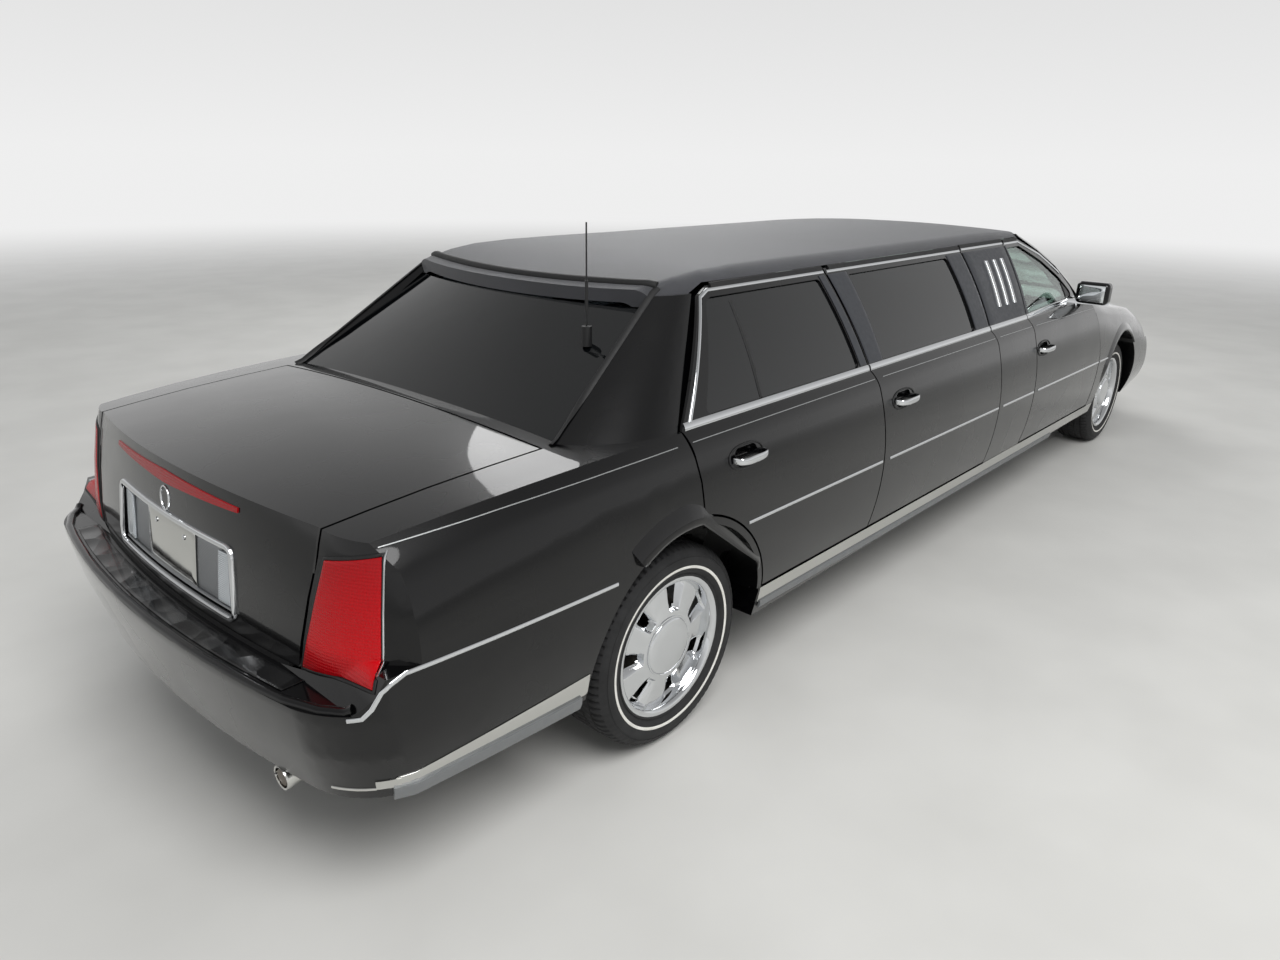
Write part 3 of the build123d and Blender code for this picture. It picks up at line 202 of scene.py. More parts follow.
def dress(names, material, angle=30):
    """Give carried-over nodes one finish."""
    for name in names:
        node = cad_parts[name]
        node.data.materials.clear()
        node.data.materials.append(material)
        smooth(node, angle)


def both(stem):
    """The names of a left and a right node."""
    return [stem + "_left", stem + "_right"]


peel_per_metre = 420
paint, tree, shader = finish("gloss_black_enamel", "040405", 0.28, Specular_IOR_Level=0.15, Coat_Weight=1.0,
                             Coat_Roughness=0.02, Coat_IOR=1.36)
vary(tree, shader, "Roughness", 3.0, 0.24, 0.32)
where = add_node(tree, "ShaderNodeTexCoord")
peel = add_node(tree, "ShaderNodeTexNoise", {"Vector": where.outputs["Object"]}, Scale=peel_per_metre,
                Detail=1.0)
roughen(tree, shader, peel.outputs["Fac"], 0.04, 0.0002, "Coat Normal")
dress(["rear_quarters", "front_wings", "bonnet", "boot_lid", "rear_deck", "rear_bumper", "front_bumper",
       "cowl", "filler_panels", "side_frames"] + both("door_rear") + both("door_middle") + both("door_front"),
      paint)

# Roof cover: grained vinyl, padded and glued over the steel roof.
# The grain is drawn 3.5 mm wide, so that it shows, and its sheen greys the roof where it turns from the eye.
grain_width = 0.0035
vinyl, tree, shader = finish("grained_roof_vinyl", "24252A", 0.62, Sheen_Weight=0.35, Sheen_Roughness=0.5)
vary(tree, shader, "Base Color", 4.0, "212227", "2A2B31")
where = add_node(tree, "ShaderNodeTexCoord")
cells = add_node(tree, "ShaderNodeTexVoronoi", {"Vector": where.outputs["Object"]}, Scale=1 / grain_width,
                 feature="DISTANCE_TO_EDGE")
creases = add_node(tree, "ShaderNodeMapRange", {"Value": cells.outputs["Distance"]})
creases.inputs["From Max"].default_value = 0.12
roughen(tree, shader, creases.outputs["Result"], 0.35, 0.0006)
dress(["roof"], vinyl)

# Glass: toughened panes, dark privacy tint behind the front doors and a pale green tint ahead of them.
# Polished, so the room shows in it; the dark panes let only a little of the cabin through.
dark_glass, tree, shader = finish("privacy_glass", "1B1F22", 0.0, IOR=1.5, Transmission_Weight=0.82,
                                  Coat_Weight=0.3)
vary(tree, shader, "Roughness", 2.0, 0.0, 0.015)
clear_glass, tree, shader = finish("tinted_glass", "C9DCD4", 0.0, IOR=1.5, Transmission_Weight=1.0)
vary(tree, shader, "Roughness", 2.0, 0.0, 0.012)
dress(["back_glass"] + both("glass_rear") + both("glass_middle"), dark_glass)
dress(["windscreen"] + both("glass_front"), clear_glass)

# Bright side mouldings: rolled stainless and plated zinc, clipped along the doors and wings.
# A wide one covers the belt, a thin one runs low along the doors, and one edges the windows' tops.
# The door seams are lengths ahead of the rear axle, and the belt and window lines heights, all in metres.
chrome, tree, shader = finish("bright_chrome", "D9DBDD", 0.06, 1.0)
vary(tree, shader, "Roughness", 14.0, 0.04, 0.10)
door_start, seam_b, seam_c, seam_d, seam_e = (rear_axle + x for x in (0.060, 1.165, 2.330, 2.805, 3.940))
belt_z, window_foot_z, window_top_z, frame_top_z = 1.005, 1.026, 1.334, 1.366
sides = (("left", 1), ("right", -1))
outside, seam_half = 1.3, 0.006


def skin(*names):
    """A search tree over the faces of some carried-over nodes."""
    points, faces = [], []
    for name in names:
        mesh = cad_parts[name].data
        start = len(points)
        points += [vertex.co.copy() for vertex in mesh.vertices]
        faces += [[start + i for i in polygon.vertices] for polygon in mesh.polygons]
    return BVHTree.FromPolygons(points, faces)


def spaced(path, gap):
    """The path's points with more between them, no further apart than the gap."""
    points = [tuple(path[0])]
    for start, end in zip(path, path[1:]):
        count = max(1, math.ceil(math.dist(start, end) / gap))
        points += [tuple(a + (b - a) * i / count for a, b in zip(start, end)) for i in range(1, count + 1)]
    return points


def rolled(name, rows, closed=True, crease=40):
    """A sheet through rows of points; closed rolls it into a bar and fills its ends."""
    columns = len(rows[0]) + (1 if closed else 0)
    bpy.ops.object.select_all(action="DESELECT")
    bpy.ops.mesh.primitive_grid_add(x_subdivisions=columns - 1, y_subdivisions=len(rows) - 1, size=1)
    piece = bpy.context.object
    piece.name = piece.data.name = name
    points = [point for row in rows for point in (list(row) + [row[0]] if closed else row)]
    for vertex, point in zip(piece.data.vertices, points):
        vertex.co = point
    bpy.ops.object.mode_set(mode="EDIT")
    bpy.ops.mesh.select_all(action="SELECT")
    bpy.ops.mesh.remove_doubles(threshold=1e-6)
    if closed:
        bpy.ops.mesh.fill_holes(sides=0)
        bpy.ops.mesh.select_all(action="SELECT")
        bpy.ops.mesh.normals_make_consistent(inside=False)
    bpy.ops.object.mode_set(mode="OBJECT")
    bpy.ops.object.shade_smooth_by_angle(angle=math.radians(crease))
    return piece


def fit(piece, body, material):
    """Give a new piece its finish and the body that it rides on."""
    piece.data.materials.clear()
    piece.data.materials.append(material)
    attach(piece, body)
    return piece


def seat(tree, starts, way):
    """Places and smoothed face directions where lines from some starts fall on a tree."""
    hits = [tree.ray_cast(Vector(start), Vector(way(start) if callable(way) else way)) for start in starts]
    hits = [hit for hit in hits if hit[0] is not None]
    faces = [hit[1] for hit in hits]
    smoothed = [sum(faces[max(0, i - 2):i + 3], Vector()).normalized() for i in range(len(faces))]
    return [hit[0] for hit in hits], smoothed


def laid(name, tree, starts, way, section, loop=False, lift=0.0, crease=40):
    """A bar of one section laid on a panel along a path; section is (across, outwards) pairs round it."""
    places, faces = seat(tree, starts, way)
    rows = []
    count = len(places)
    for i, (place, face) in enumerate(zip(places, faces)):
        ahead = places[(i + 1) % count] if loop else places[min(i + 1, count - 1)]
        behind = places[(i - 1) % count] if loop else places[max(i - 1, 0)]
        across = face.cross((ahead - behind).normalized()).normalized()
        rows.append([place + across * a + face * (b + lift) for a, b in section])
    if loop:
        rows.append(rows[0])
    return rolled(name, rows, True, crease)


def crowned(width, height, sink=0.001):
    """Section of a moulding with a rounded top, let a little into its panel."""
    return [(-width / 2, -sink), (-width / 2, height * 0.45), (-width * 0.36, height * 0.82), (0, height),
            (width * 0.36, height * 0.82), (width / 2, height * 0.45), (width / 2, -sink)]


def side_bar(name, panel_skin, y, path, section, gap=0.05, **settings):
    """A bar laid on the car's side along a side-view path of (x, z) points."""
    starts = [(x, outside * y, z) for x, z in spaced(path, gap)]
    return laid(name, panel_skin, starts, (0, -y, 0), section, **settings)


door_skins = {side: {door: skin(f"door_{door}_{side}") for door in ("rear", "middle", "front")}
              for side, _ in sides}
fixed_skins = {"filler": skin("filler_panels"), "quarter": skin("rear_quarters"), "wing": skin("front_wings")}
bumper_skin = skin("rear_bumper", "rear_quarters")


def panel_of(panel, side):
    """The search tree and the body of one panel of the car's side."""
    if panel in fixed_skins:
        return fixed_skins[panel], "body"
    return door_skins[side][panel], f"door_{panel}_{side}"


def low_strip_z(x):
    """Height of the thin side moulding, which falls towards the nose."""
    return 0.690 - 0.0137 * (x - (rear_axle - 1.0))


side_spans = {"rear": (door_start, seam_b), "middle": (seam_b, seam_c), "filler": (seam_c, seam_d),
              "front": (seam_d, seam_e)}
tops = {"rear": [(door_start + 0.030, belt_z + 0.009), (door_start + 0.300, frame_top_z - 0.029),
                 (door_start + 0.350, frame_top_z - 0.012), (seam_b - 0.052, frame_top_z - 0.012)],
        "middle": [(seam_b - 0.028, frame_top_z - 0.012), (seam_c + 0.006, frame_top_z - 0.012)],
        "filler": [(seam_c + 0.030, frame_top_z - 0.008), (seam_d + 0.062, frame_top_z - 0.008)],
        "front": [(seam_d + 0.088, frame_top_z - 0.012), (seam_e - 0.845, frame_top_z - 0.012),
                  (seam_e - 0.612, 1.276), (seam_e - 0.412, 1.174), (seam_e - 0.396, 1.163)]}
bumper_turn = [(rear_axle + x, z) for x, z in ((-1.064, 0.594), (-1.040, 0.597), (-1.022, 0.618),
                                               (-1.002, 0.656), (-0.985, 0.670))]
quarter_strip = bumper_turn + [(x, low_strip_z(x) - 0.006) for x in (rear_axle - 0.945, rear_axle - 0.300)]
wing_end = front_axle - 0.318
wing_strip = [(seam_e + 0.008, low_strip_z(seam_e)), (wing_end, low_strip_z(wing_end))]
for side, y in sides:
    for panel, (start, end) in side_spans.items():
        panel_skin, body = panel_of(panel, side)
        belt_from = start + (0.004 if panel == "rear" else seam_half)
        belt_to = seam_e - 0.180 if panel == "front" else end - seam_half
        low_from = rear_axle + 0.290 if panel == "rear" else start + 0.020
        low_to = seam_e - 0.010 if panel == "front" else end + 0.020
        belt = [(belt_from, belt_z + 0.010), (belt_to, belt_z + 0.010)]
        low = [(low_from + seam_half, low_strip_z(low_from)), (low_to - seam_half, low_strip_z(low_to))]
        for kind, path, section, gap in (("belt_moulding", belt, crowned(0.024, 0.006), 0.05),
                                         ("window_top_moulding", tops[panel], crowned(0.012, 0.005), 0.03),
                                         ("side_strip", low, crowned(0.011, 0.004), 0.05)):
            fit(side_bar(f"{kind}_{panel}_{side}", panel_skin, y, path, section, gap), body, chrome)
    for panel, panel_skin, path, gap in (("quarter", bumper_skin, quarter_strip, 0.02),
                                         ("wing", fixed_skins["wing"], wing_strip, 0.05)):
        fit(side_bar(f"side_strip_{panel}_{side}", panel_skin, y, path, crowned(0.011, 0.004), gap), "body",
            chrome)

# Pillar covers: satin dark-grey formed sheets bonded over the door frames beside the middle door.
# The one on the fixed panel carries three slanted bright louvres a side.
satin_grey, tree, shader = finish("satin_grey_cover", "34363B", 0.42, 0.25)
vary(tree, shader, "Roughness", 60.0, 0.36, 0.48)
cover_foot_z, cover_top_z = window_foot_z + 0.002, frame_top_z - 0.022
covers = {"rear": [(seam_b - 0.057, seam_b - 0.009, seam_b - 0.055, seam_b - 0.094)],
          "middle": [(seam_b + 0.008, seam_b + 0.115, seam_b + 0.107, seam_b - 0.030),
                     (seam_c - 0.156, seam_c - 0.009, seam_c + 0.008, seam_c - 0.153)],
          "filler": [(seam_c + 0.008, seam_d - 0.007, seam_d + 0.062, seam_c + 0.030)],
          "front": [(seam_d + 0.008, seam_d + 0.042, seam_d + 0.100, seam_d + 0.086)]}
louvre_start, louvre_slant = 0.168, 0.052
louvre_pitch, louvre_width, louvre_foot_z, louvre_top_z = 0.096, 0.030, 1.092, 1.292
louvre_section = [(louvre_width * share, outwards) for share, outwards in (
    (-0.5, 0.001), (-0.5, 0.006), (-0.30, 0.013), (-0.08, 0.014), (0, 0.008), (0.10, 0.008), (0.30, 0.010),
    (0.5, 0.005), (0.5, 0.001))]
bond_gap = 0.0004


def patch(corners, columns, rows):
    """Rows of points between four corners, given low start, low end, high end and high start."""
    low_start, low_end, high_end, high_start = [Vector(corner) for corner in corners]
    return [[low_start.lerp(high_start, j / rows).lerp(low_end.lerp(high_end, j / rows), i / columns)
             for i in range(columns + 1)] for j in range(rows + 1)]


def applied(piece, name, kind, **settings):
    """Give the active piece one modifier with its settings and apply it."""
    modifier = piece.modifiers.new(name, kind)
    for key, value in settings.items():
        setattr(modifier, key, value)
    bpy.ops.object.modifier_apply(modifier=name)


def draped(name, tree, starts, way, lift, thickness):
    """A plate of even thickness laid where lines from rows of starts fall on a tree."""
    grid = []
    for row_starts in starts:
        middle = row_starts[len(row_starts) // 2]
        row = []
        for start in row_starts:
            for inset in (0, 0.05, 0.1, 0.15, 0.2, 0.3, 0.4):
                place, face, _, _ = tree.ray_cast(start.lerp(middle, inset), Vector(way))
                if place is not None:
                    row.append(place + face * lift)
                    break
        if len(row) == len(row_starts):
            grid.append(row)
    plate = rolled(name, grid, closed=False)
    bpy.ops.object.mode_set(mode="EDIT")
    bpy.ops.mesh.select_all(action="SELECT")
    bpy.ops.mesh.normals_make_consistent(inside=False)
    bpy.ops.object.mode_set(mode="OBJECT")
    if sum((polygon.normal for polygon in plate.data.polygons), Vector()).dot(Vector(way)) > 0:
        bpy.ops.object.mode_set(mode="EDIT")
        bpy.ops.mesh.flip_normals()
        bpy.ops.object.mode_set(mode="OBJECT")
    applied(plate, "wall", "SOLIDIFY", thickness=thickness, offset=1)
    applied(plate, "edge", "BEVEL", width=thickness * 0.4, segments=2, angle_limit=math.radians(50))
    bpy.ops.object.shade_smooth_by_angle(angle=math.radians(35))
    return plate


def side_plate(name, panel_skin, y, corners, thickness, columns, rows):
    """A plate laid on the car's side between four side-view corners (x, z)."""
    starts = patch([(x, outside * y, z) for x, z in corners], columns, rows)
    return draped(name, panel_skin, starts, (0, -y, 0), bond_gap, thickness)


for side, y in sides:
    for panel, shapes in covers.items():
        panel_skin, body = panel_of(panel, side)
        for number, (foot_rear, foot_front, top_front, top_rear) in enumerate(shapes, 1):
            corners = [(foot_rear, cover_foot_z), (foot_front, cover_foot_z), (top_front, cover_top_z),
                       (top_rear, cover_top_z)]
            cover = side_plate(f"pillar_cover_{panel}_{number}_{side}", panel_skin, y, corners, 0.0022, 8, 24)
            fit(cover, body, satin_grey)
    section = louvre_section
    if y > 0:
        section = [(-across, outwards) for across, outwards in reversed(louvre_section)]
    for number in range(3):
        foot = seam_c + louvre_start + number * louvre_pitch
        path = [(foot, louvre_foot_z), (foot + louvre_slant, louvre_top_z)]
        louvre = side_bar(f"louvre_{number + 1}_{side}", fixed_skins["filler"], y, path, section, 0.012,
                          lift=0.001)
        fit(louvre, "body", chrome)

# Sill bands: mirror-polished stainless sheet over the sills, with a dull grey folded flange below it.
# They carry on behind the rear wheels, wrap the bumper's corners and run out in a thin bright bead along
# its lower edge.
polished, tree, shader = finish("polished_stainless", "CFCFCB", 0.07, 1.0)
vary(tree, shader, "Roughness", 9.0, 0.05, 0.12)
dress(["rocker_bands"], polished)
grey_metal, tree, shader = finish("dull_zinc_flange", "8C8E90", 0.45, 0.8)
vary(tree, shader, "Roughness", 25.0, 0.38, 0.55)
sill_skin = skin("side_frames", "rocker_bands")


def band_foot_z(x):
    """Height of the band's lower edge, which falls towards the nose."""
    return 0.346 - 0.0155 * (x - (rear_axle + 0.060))


tail_end, turn_steps, turn_reach = rear_axle - 0.985, 16, 0.6
corner_section = [(-0.014, 0.0004), (-0.014, 0.0030), (0.014, 0.0030), (0.014, 0.0004)]
for side, y in sides:
    for name, panel_skin, start, end, half in (
            ("sill", sill_skin, rear_axle + 0.420, front_axle - 0.420, 0.014),
            ("tail", bumper_skin, rear_axle - 0.975, rear_axle - 0.372, 0.020)):
        path = [(x, band_foot_z(x) + half - 0.014 - 0.010) for x in (start, end)]
        section = [(-half, 0.002), (-half, 0.008), (0.0, 0.011), (half, 0.008), (half, 0.002)]
        fit(side_bar(f"{name}_flange_{side}", panel_skin, y, path, section), "body",
            grey_metal)
    end = rear_axle - 0.395
    corners = [(tail_end, band_foot_z(tail_end) + 0.014), (end, band_foot_z(end) + 0.014),
               (end, band_foot_z(end) + 0.082), (tail_end + 0.012, band_foot_z(tail_end) + 0.046)]
    fit(side_plate(f"tail_band_{side}", bumper_skin, y, corners, 0.0025, 30, 3), "body",
        polished)
for side, y in sides:
    turn = Vector((rear_axle - 0.900, 0.750 * y, 0))
    for name, from_angle, to_angle, rise, section in (("band", 25, 47, 0.029, corner_section),
                                                      ("bead", 47, 84, 0.016, crowned(0.008, 0.004))):
        angles = [math.radians(from_angle + (to_angle - from_angle) * i / turn_steps)
                  for i in range(turn_steps + 1)]
        outwards = [Vector((-math.sin(a), y * math.cos(a), 0)) for a in angles]
        height = Vector((0, 0, band_foot_z(tail_end) + rise))
        starts = [turn + way * turn_reach + height for way in outwards]
        aims = {tuple(start): -way for start, way in zip(starts, outwards)}
        fit(laid(f"corner_{name}_{side}", bumper_skin, starts, lambda start: aims[tuple(start)], section),
            "body", polished)

# Wheel arch flares: the wings' edges are rolled outwards over the wheels, painted with the body.
# Each swells from nothing at its ends, the rear one late and fully, the front one early and about half.
flare_steps, arch_radius, arch_z = 60, 0.3965, 0.345
flare_section = ((0.0, 0.0), (0.0, 0.45), (0.06, 0.85), (0.20, 1.0), (0.45, 0.80), (0.75, 0.35), (1.0, 0.0),
                 (1.0, -0.15))
for name, axle, panel, from_angle, to_angle, swell_from, swell_over, swell_share in (
        ("rear", rear_axle, "quarter", 20, 132, 66, 26, 1),
        ("front", front_axle, "wing", 18, 162, 18, 40, 0.55)):
    for side, y in sides:
        rows = []
        for i in range(flare_steps + 1):
            share = i / flare_steps
            angle = math.radians(from_angle + (to_angle - from_angle) * share)
            swell = max(0.0, min(1.0, (math.degrees(angle) - swell_from) / swell_over)) * swell_share
            swell = swell * swell * (3 - 2 * swell)
            end_fade = min(1.0, (1 - share) / 0.10, share / 0.06) ** 0.5
            width = 0.022 + 0.052 * swell
            row = []
            for part, out in flare_section:
                radius = arch_radius + width * part * (0.35 + 0.65 * end_fade)
                x, z = axle + radius * math.cos(angle), arch_z + radius * math.sin(angle)
                place, _, _, _ = fixed_skins[panel].ray_cast(Vector((x, outside * y, z)), Vector((0, -y, 0)))
                if place is None:
                    break
                row.append(place + Vector((0, y, 0)) * out * (0.006 + 0.010 * swell) * end_fade)
            if len(row) == len(flare_section):
                rows.append(row)
        fit(rolled(f"arch_flare_{name}_{side}", rows, True, 50), "body", paint)

# Door handles: bright pull bars over black moulded cups let into the doors.
# The plastic's moulded grain is drawn 3 mm wide, so that it shows as a dull and slightly broken sheen.
handle_places = {"rear": (rear_axle + 0.302, 0.890), "middle": (seam_b + 0.190, 0.874),
                 "front": (seam_d + 0.128, 0.850)}
black_plastic, tree, shader = finish("moulded_black_plastic", "131314", 0.45)
grain = vary(tree, shader, "Roughness", 300.0, 0.40, 0.52)
roughen(tree, shader, grain.outputs["Fac"], 0.15, 0.0003)
cup_half_length, cup_half_height = 0.088, 0.036
bar_half_length, bar_half_height, bar_half_thick = 0.078, 0.0125, 0.0045


def around(count):
    """Angles evenly round a full turn."""
    return [2 * math.pi * i / count for i in range(count)]


for side, y in sides:
    for door, (x, z) in handle_places.items():
        panel_skin, body = panel_of(door, side)
        rim_path = []
        for a in around(40):
            squareness = abs(math.cos(a)) ** -0.25 if abs(math.cos(a)) > 0.01 else 1
            rim_path.append((x + cup_half_length * math.cos(a) * squareness, outside * y,
                             z + cup_half_height * math.sin(a)))
        fit(laid(f"handle_bezel_{door}_{side}", panel_skin, rim_path, (0, -y, 0), crowned(0.007, 0.004),
                 loop=True), body, black_plastic)
        rows = []
        for i in range(25):
            u = i / 24 * 2 - 1
            start = Vector((x + bar_half_length * u, outside * y, z))
            place, _, _, _ = panel_skin.ray_cast(start, Vector((0, -y, 0)))
            outwards = 0.006 + 0.019 * (1 - u ** 4)
            half = bar_half_height * (1 - 0.25 * u * u)
            centre = Vector((x + bar_half_length * u, place.y + y * outwards, z))
            rows.append([centre + Vector((0, y * bar_half_thick * math.sin(a), half * math.cos(a)))
                         for a in around(12)])
        fit(rolled(f"handle_{door}_{side}", rows, True, 50), body, chrome)

# Wheels: chromed cast alloy with seven broad flat spokes round a large plain cap, and a turned lip.
# The brake discs behind the spokes are machined cast iron, grey with browner patches.
spokes, sector_columns, flank_depth, rim_depth = 7, 24, 0.020, 0.006
wheel_half_track, wheel_z = 0.788, 0.330


def hub(axle, side):
    """The middle of a wheel."""
    return Vector((axle, side * wheel_half_track, wheel_z))


def turned(name, axle, side, profile, steps=96):
    """A ring turned about an axle from (radius, outward offset) points."""
    rows = []
    centre = hub(axle, side)
    for i in range(steps + 1):
        angle = 2 * math.pi * i / steps
        rows.append([centre + Vector((r * math.cos(angle), side * offset, r * math.sin(angle)))
                     for r, offset in profile])
    return rolled(name, rows, True, 35)


lip_profile = [(0.204, 0.062), (0.206, 0.074), (0.209, 0.086), (0.213, 0.0945), (0.219, 0.0985),
               (0.227, 0.0995), (0.2335, 0.0975), (0.2345, 0.092), (0.222, 0.086), (0.218, 0.060),
               (0.214, 0.0), (0.218, -0.070), (0.222, -0.088), (0.232, -0.096), (0.230, -0.099),
               (0.214, -0.092), (0.208, -0.060), (0.203, 0.010)]
cap_profile = [(0.0001, 0.0985), (0.030, 0.0985), (0.060, 0.0975), (0.084, 0.0955), (0.0905, 0.0925),
               (0.0925, 0.0900), (0.0950, 0.0915), (0.0985, 0.0905), (0.101, 0.082), (0.101, 0.060),
               (0.0001, 0.060)]
disc_profile = [(0.070, -0.006), (0.150, -0.006), (0.150, -0.030), (0.070, -0.030), (0.062, 0.038),
                (0.020, 0.042), (0.020, 0.050), (0.070, 0.046)]
cast_iron, tree, shader = finish("machined_cast_iron", "55524E", 0.5, 0.9)
vary(tree, shader, "Base Color", 35.0, "4A4744", "625D57")
spoke_front = {0.099: 0.0885, 0.106: 0.0880, 0.113: 0.0865, 0.120: 0.0850, 0.128: 0.0832, 0.140: 0.0810,
               0.155: 0.0785, 0.170: 0.0765, 0.184: 0.0750, 0.192: 0.0742, 0.198: 0.0735, 0.206: 0.0725}


def flank(radius):
    """Where a spoke's flat ends and the window beside it starts, as shares of half a spoke's pitch."""
    spread = (radius - 0.115) / 0.085
    return 0.58 - 0.11 * spread, 0.80 - 0.06 * spread


def spoke_face(name, axle, side):
    """The wheel's face between its cap and its lip: flat spokes with sloping flanks and open windows."""
    centre = hub(axle, side)
    columns = spokes * sector_columns
    grid = []
    for radius, front in spoke_front.items():
        flat, window = flank(radius)
        full_depth = 0.0 if radius <= 0.117 else flank_depth if radius < 0.200 else rim_depth
        row = []
        for i in range(columns):
            u = 1 - abs((i % sector_columns) / sector_columns * 2 - 1)
            angle = 2 * math.pi * i / columns
            depth = full_depth * max(0.0, min(1.0, (u - flat) / (window - flat)))
            row.append(centre + Vector((radius * math.cos(angle), side * (front - depth),
                                        radius * math.sin(angle))))
        grid.append(row + [row[0]])
    face = rolled(name, grid, closed=False)
    mesh = bmesh.new()
    mesh.from_mesh(face.data)
    windows = []
    for polygon in mesh.faces:
        middle = polygon.calc_center_median() - centre
        radius = math.hypot(middle.x, middle.z)
        turn = (math.atan2(middle.z, middle.x) / (2 * math.pi) * spokes) % 1
        u = 1 - abs(turn * 2 - 1)
        if 0.120 < radius < 0.196 and u > flank(radius)[1]:
            windows.append(polygon)
    bmesh.ops.delete(mesh, geom=windows, context="FACES")
    bmesh.ops.remove_doubles(mesh, verts=mesh.verts, dist=1e-6)
    bmesh.ops.recalc_face_normals(mesh, faces=mesh.faces)
    if sum(polygon.normal.y for polygon in mesh.faces) * side < 0:
        bmesh.ops.reverse_faces(mesh, faces=mesh.faces)
    mesh.to_mesh(face.data)
    mesh.free()
    applied(face, "wall", "SOLIDIFY", thickness=0.011, offset=-1)
    applied(face, "edge", "BEVEL", width=0.0012, segments=2, angle_limit=math.radians(28))
    bpy.ops.object.shade_smooth_by_angle(angle=math.radians(25))
    return face


# Tyres: black radial tyres with a block tread, ribbed side walls and one thin white band.
# The blocks and the ribs are moulded in dull black rubber, and the band is white rubber let into the wall.
tyre_rubber, tree, shader = finish("tyre_rubber", "1A1A1B", 0.72)
vary(tree, shader, "Base Color", 22.0, "161617", "212122")
white_rubber, tree, shader = finish("white_side_band", "E6E4DE", 0.55)
vary(tree, shader, "Base Color", 30.0, "DFDDD6", "ECEAE4")
side_wall = [(0.2235, 0.092), (0.2300, 0.1010), (0.2345, 0.1025), (0.2380, 0.0990), (0.2440, 0.1040),
             (0.2500, 0.1075), (0.2565, 0.1095), (0.2575, 0.1085), (0.2665, 0.1100), (0.2675, 0.1115),
             (0.2760, 0.1124), (0.2850, 0.1122), (0.2940, 0.1105), (0.2950, 0.1085), (0.2990, 0.1075),
             (0.3000, 0.1090), (0.3060, 0.1065), (0.3120, 0.1025), (0.3180, 0.0975)]
shoulder = [(0.3225, 0.0920), (0.3262, 0.0850), (0.3283, 0.0760)]
crown = [(0.3290, 0.0620), (0.3230, 0.0600), (0.3230, 0.0540), (0.3292, 0.0520), (0.3298, 0.0260),
         (0.3235, 0.0240), (0.3235, 0.0180), (0.3299, 0.0160)]
tread_steps, block_steps, notch_depth, rib_notch_depth = 320, 4, 0.0065, 0.0030


def tyre(name, axle, side):
    """One tyre: its section is carried round the axle, with the shoulder and ribs cut into blocks."""
    half = side_wall + shoulder + crown
    section = half + [(r, -offset) for r, offset in reversed(half)]
    centre = hub(axle, side)
    rows = []
    for i in range(tread_steps + 1):
        angle = 2 * math.pi * i / tread_steps
        notch = i % block_steps == 0
        row = []
        for r, offset in section:
            rib_notch = (i + (1 if abs(offset) < 0.05 else 0)) % block_steps == 0
            if notch and r > 0.3200 and abs(offset) > 0.058:
                r -= notch_depth
            elif rib_notch and r > 0.3280 and abs(offset) <= 0.0525:
                r -= rib_notch_depth
            elif notch and 0.3000 < r < 0.3200:
                offset *= 0.985
            row.append(centre + Vector((r * math.cos(angle), side * offset, r * math.sin(angle))))
        rows.append(row)
    return rolled(name, rows, True, 25)


band_profile = [(0.2572, 0.1080), (0.2576, 0.1098), (0.2595, 0.1106), (0.2645, 0.1112), (0.2664, 0.1108),
                (0.2668, 0.1090)]
for place, axle in (("rear", rear_axle), ("front", front_axle)):
    for side, y in sides:
        body, rim = f"wheel_{place}_{side}", f"rim_{place}_{side}"
        for piece, slot, material in (
                (spoke_face(f"wheel_face_{place}_{side}", axle, y), "chrome", chrome),
                (turned(f"wheel_lip_{place}_{side}", axle, y, lip_profile), "chrome", chrome),
                (turned(f"wheel_cap_{place}_{side}", axle, y, cap_profile), "chrome", chrome),
                (turned(f"brake_disc_{place}_{side}", axle, y, disc_profile, 64), "cast", cast_iron)):
            fit(piece, body, material)
            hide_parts(rim)
        rubber = fit(tyre(f"tyre_tread_{place}_{side}", axle, y), body, tyre_rubber)
        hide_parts(f"tyre_{place}_{side}")
        white_band = turned(f"white_band_{place}_{side}", axle, y, band_profile, 160)
        fit(white_band, body, white_rubber)

# Door top seals: black rubber gutters clipped along the doors' tops, over the gap under the roof.
# They ride on the doors, so that they swing out with them.
black_rubber, tree, shader = finish("black_rubber_seal", "0E0E0F", 0.55)
vary(tree, shader, "Roughness", 120.0, 0.5, 0.65)
gutter_tops = {"rear": [(door_start + 0.345, frame_top_z - 0.005), (seam_b - 0.050, frame_top_z - 0.005)],
               "middle": [(seam_b - 0.034, frame_top_z - 0.005), (seam_c + 0.010, frame_top_z - 0.005)],
               "filler": [(seam_c + 0.028, frame_top_z - 0.001), (seam_d + 0.068, frame_top_z - 0.001)],
               "front": [(seam_d + 0.088, frame_top_z - 0.005), (seam_e - 0.850, frame_top_z - 0.005)]}
for side, y in sides:
    section = [(-across * y, outwards) for across, outwards in (
        (-0.004, 0.000), (-0.004, 0.004), (0.004, 0.0065), (0.013, 0.006), (0.016, 0.003), (0.016, 0.001))]
    if y < 0:
        section.reverse()
    for panel, path in gutter_tops.items():
        panel_skin, body = panel_of(panel, side)
        seal = side_bar(f"door_top_seal_{panel}_{side}", panel_skin, y, path, section, 0.03)
        fit(seal, body, black_rubber)

# Coach line: a fine silver stripe painted by hand along the shoulder, from the tail lamps forward.
# It lies a few tenths of a millimetre proud and stops at each seam, because each panel carries its own part.
stripe_paint, tree, shader = finish("silver_coach_line", "9EA0A0", 0.35, 0.6)
vary(tree, shader, "Roughness", 80.0, 0.30, 0.42)
stripe_points = [(-0.930, 0.946), (-0.600, 0.960), (-0.200, 0.972), (0.050, 0.977), (1.165, 0.978),
                 (2.330, 0.975), (2.805, 0.972), (3.940, 0.955)]


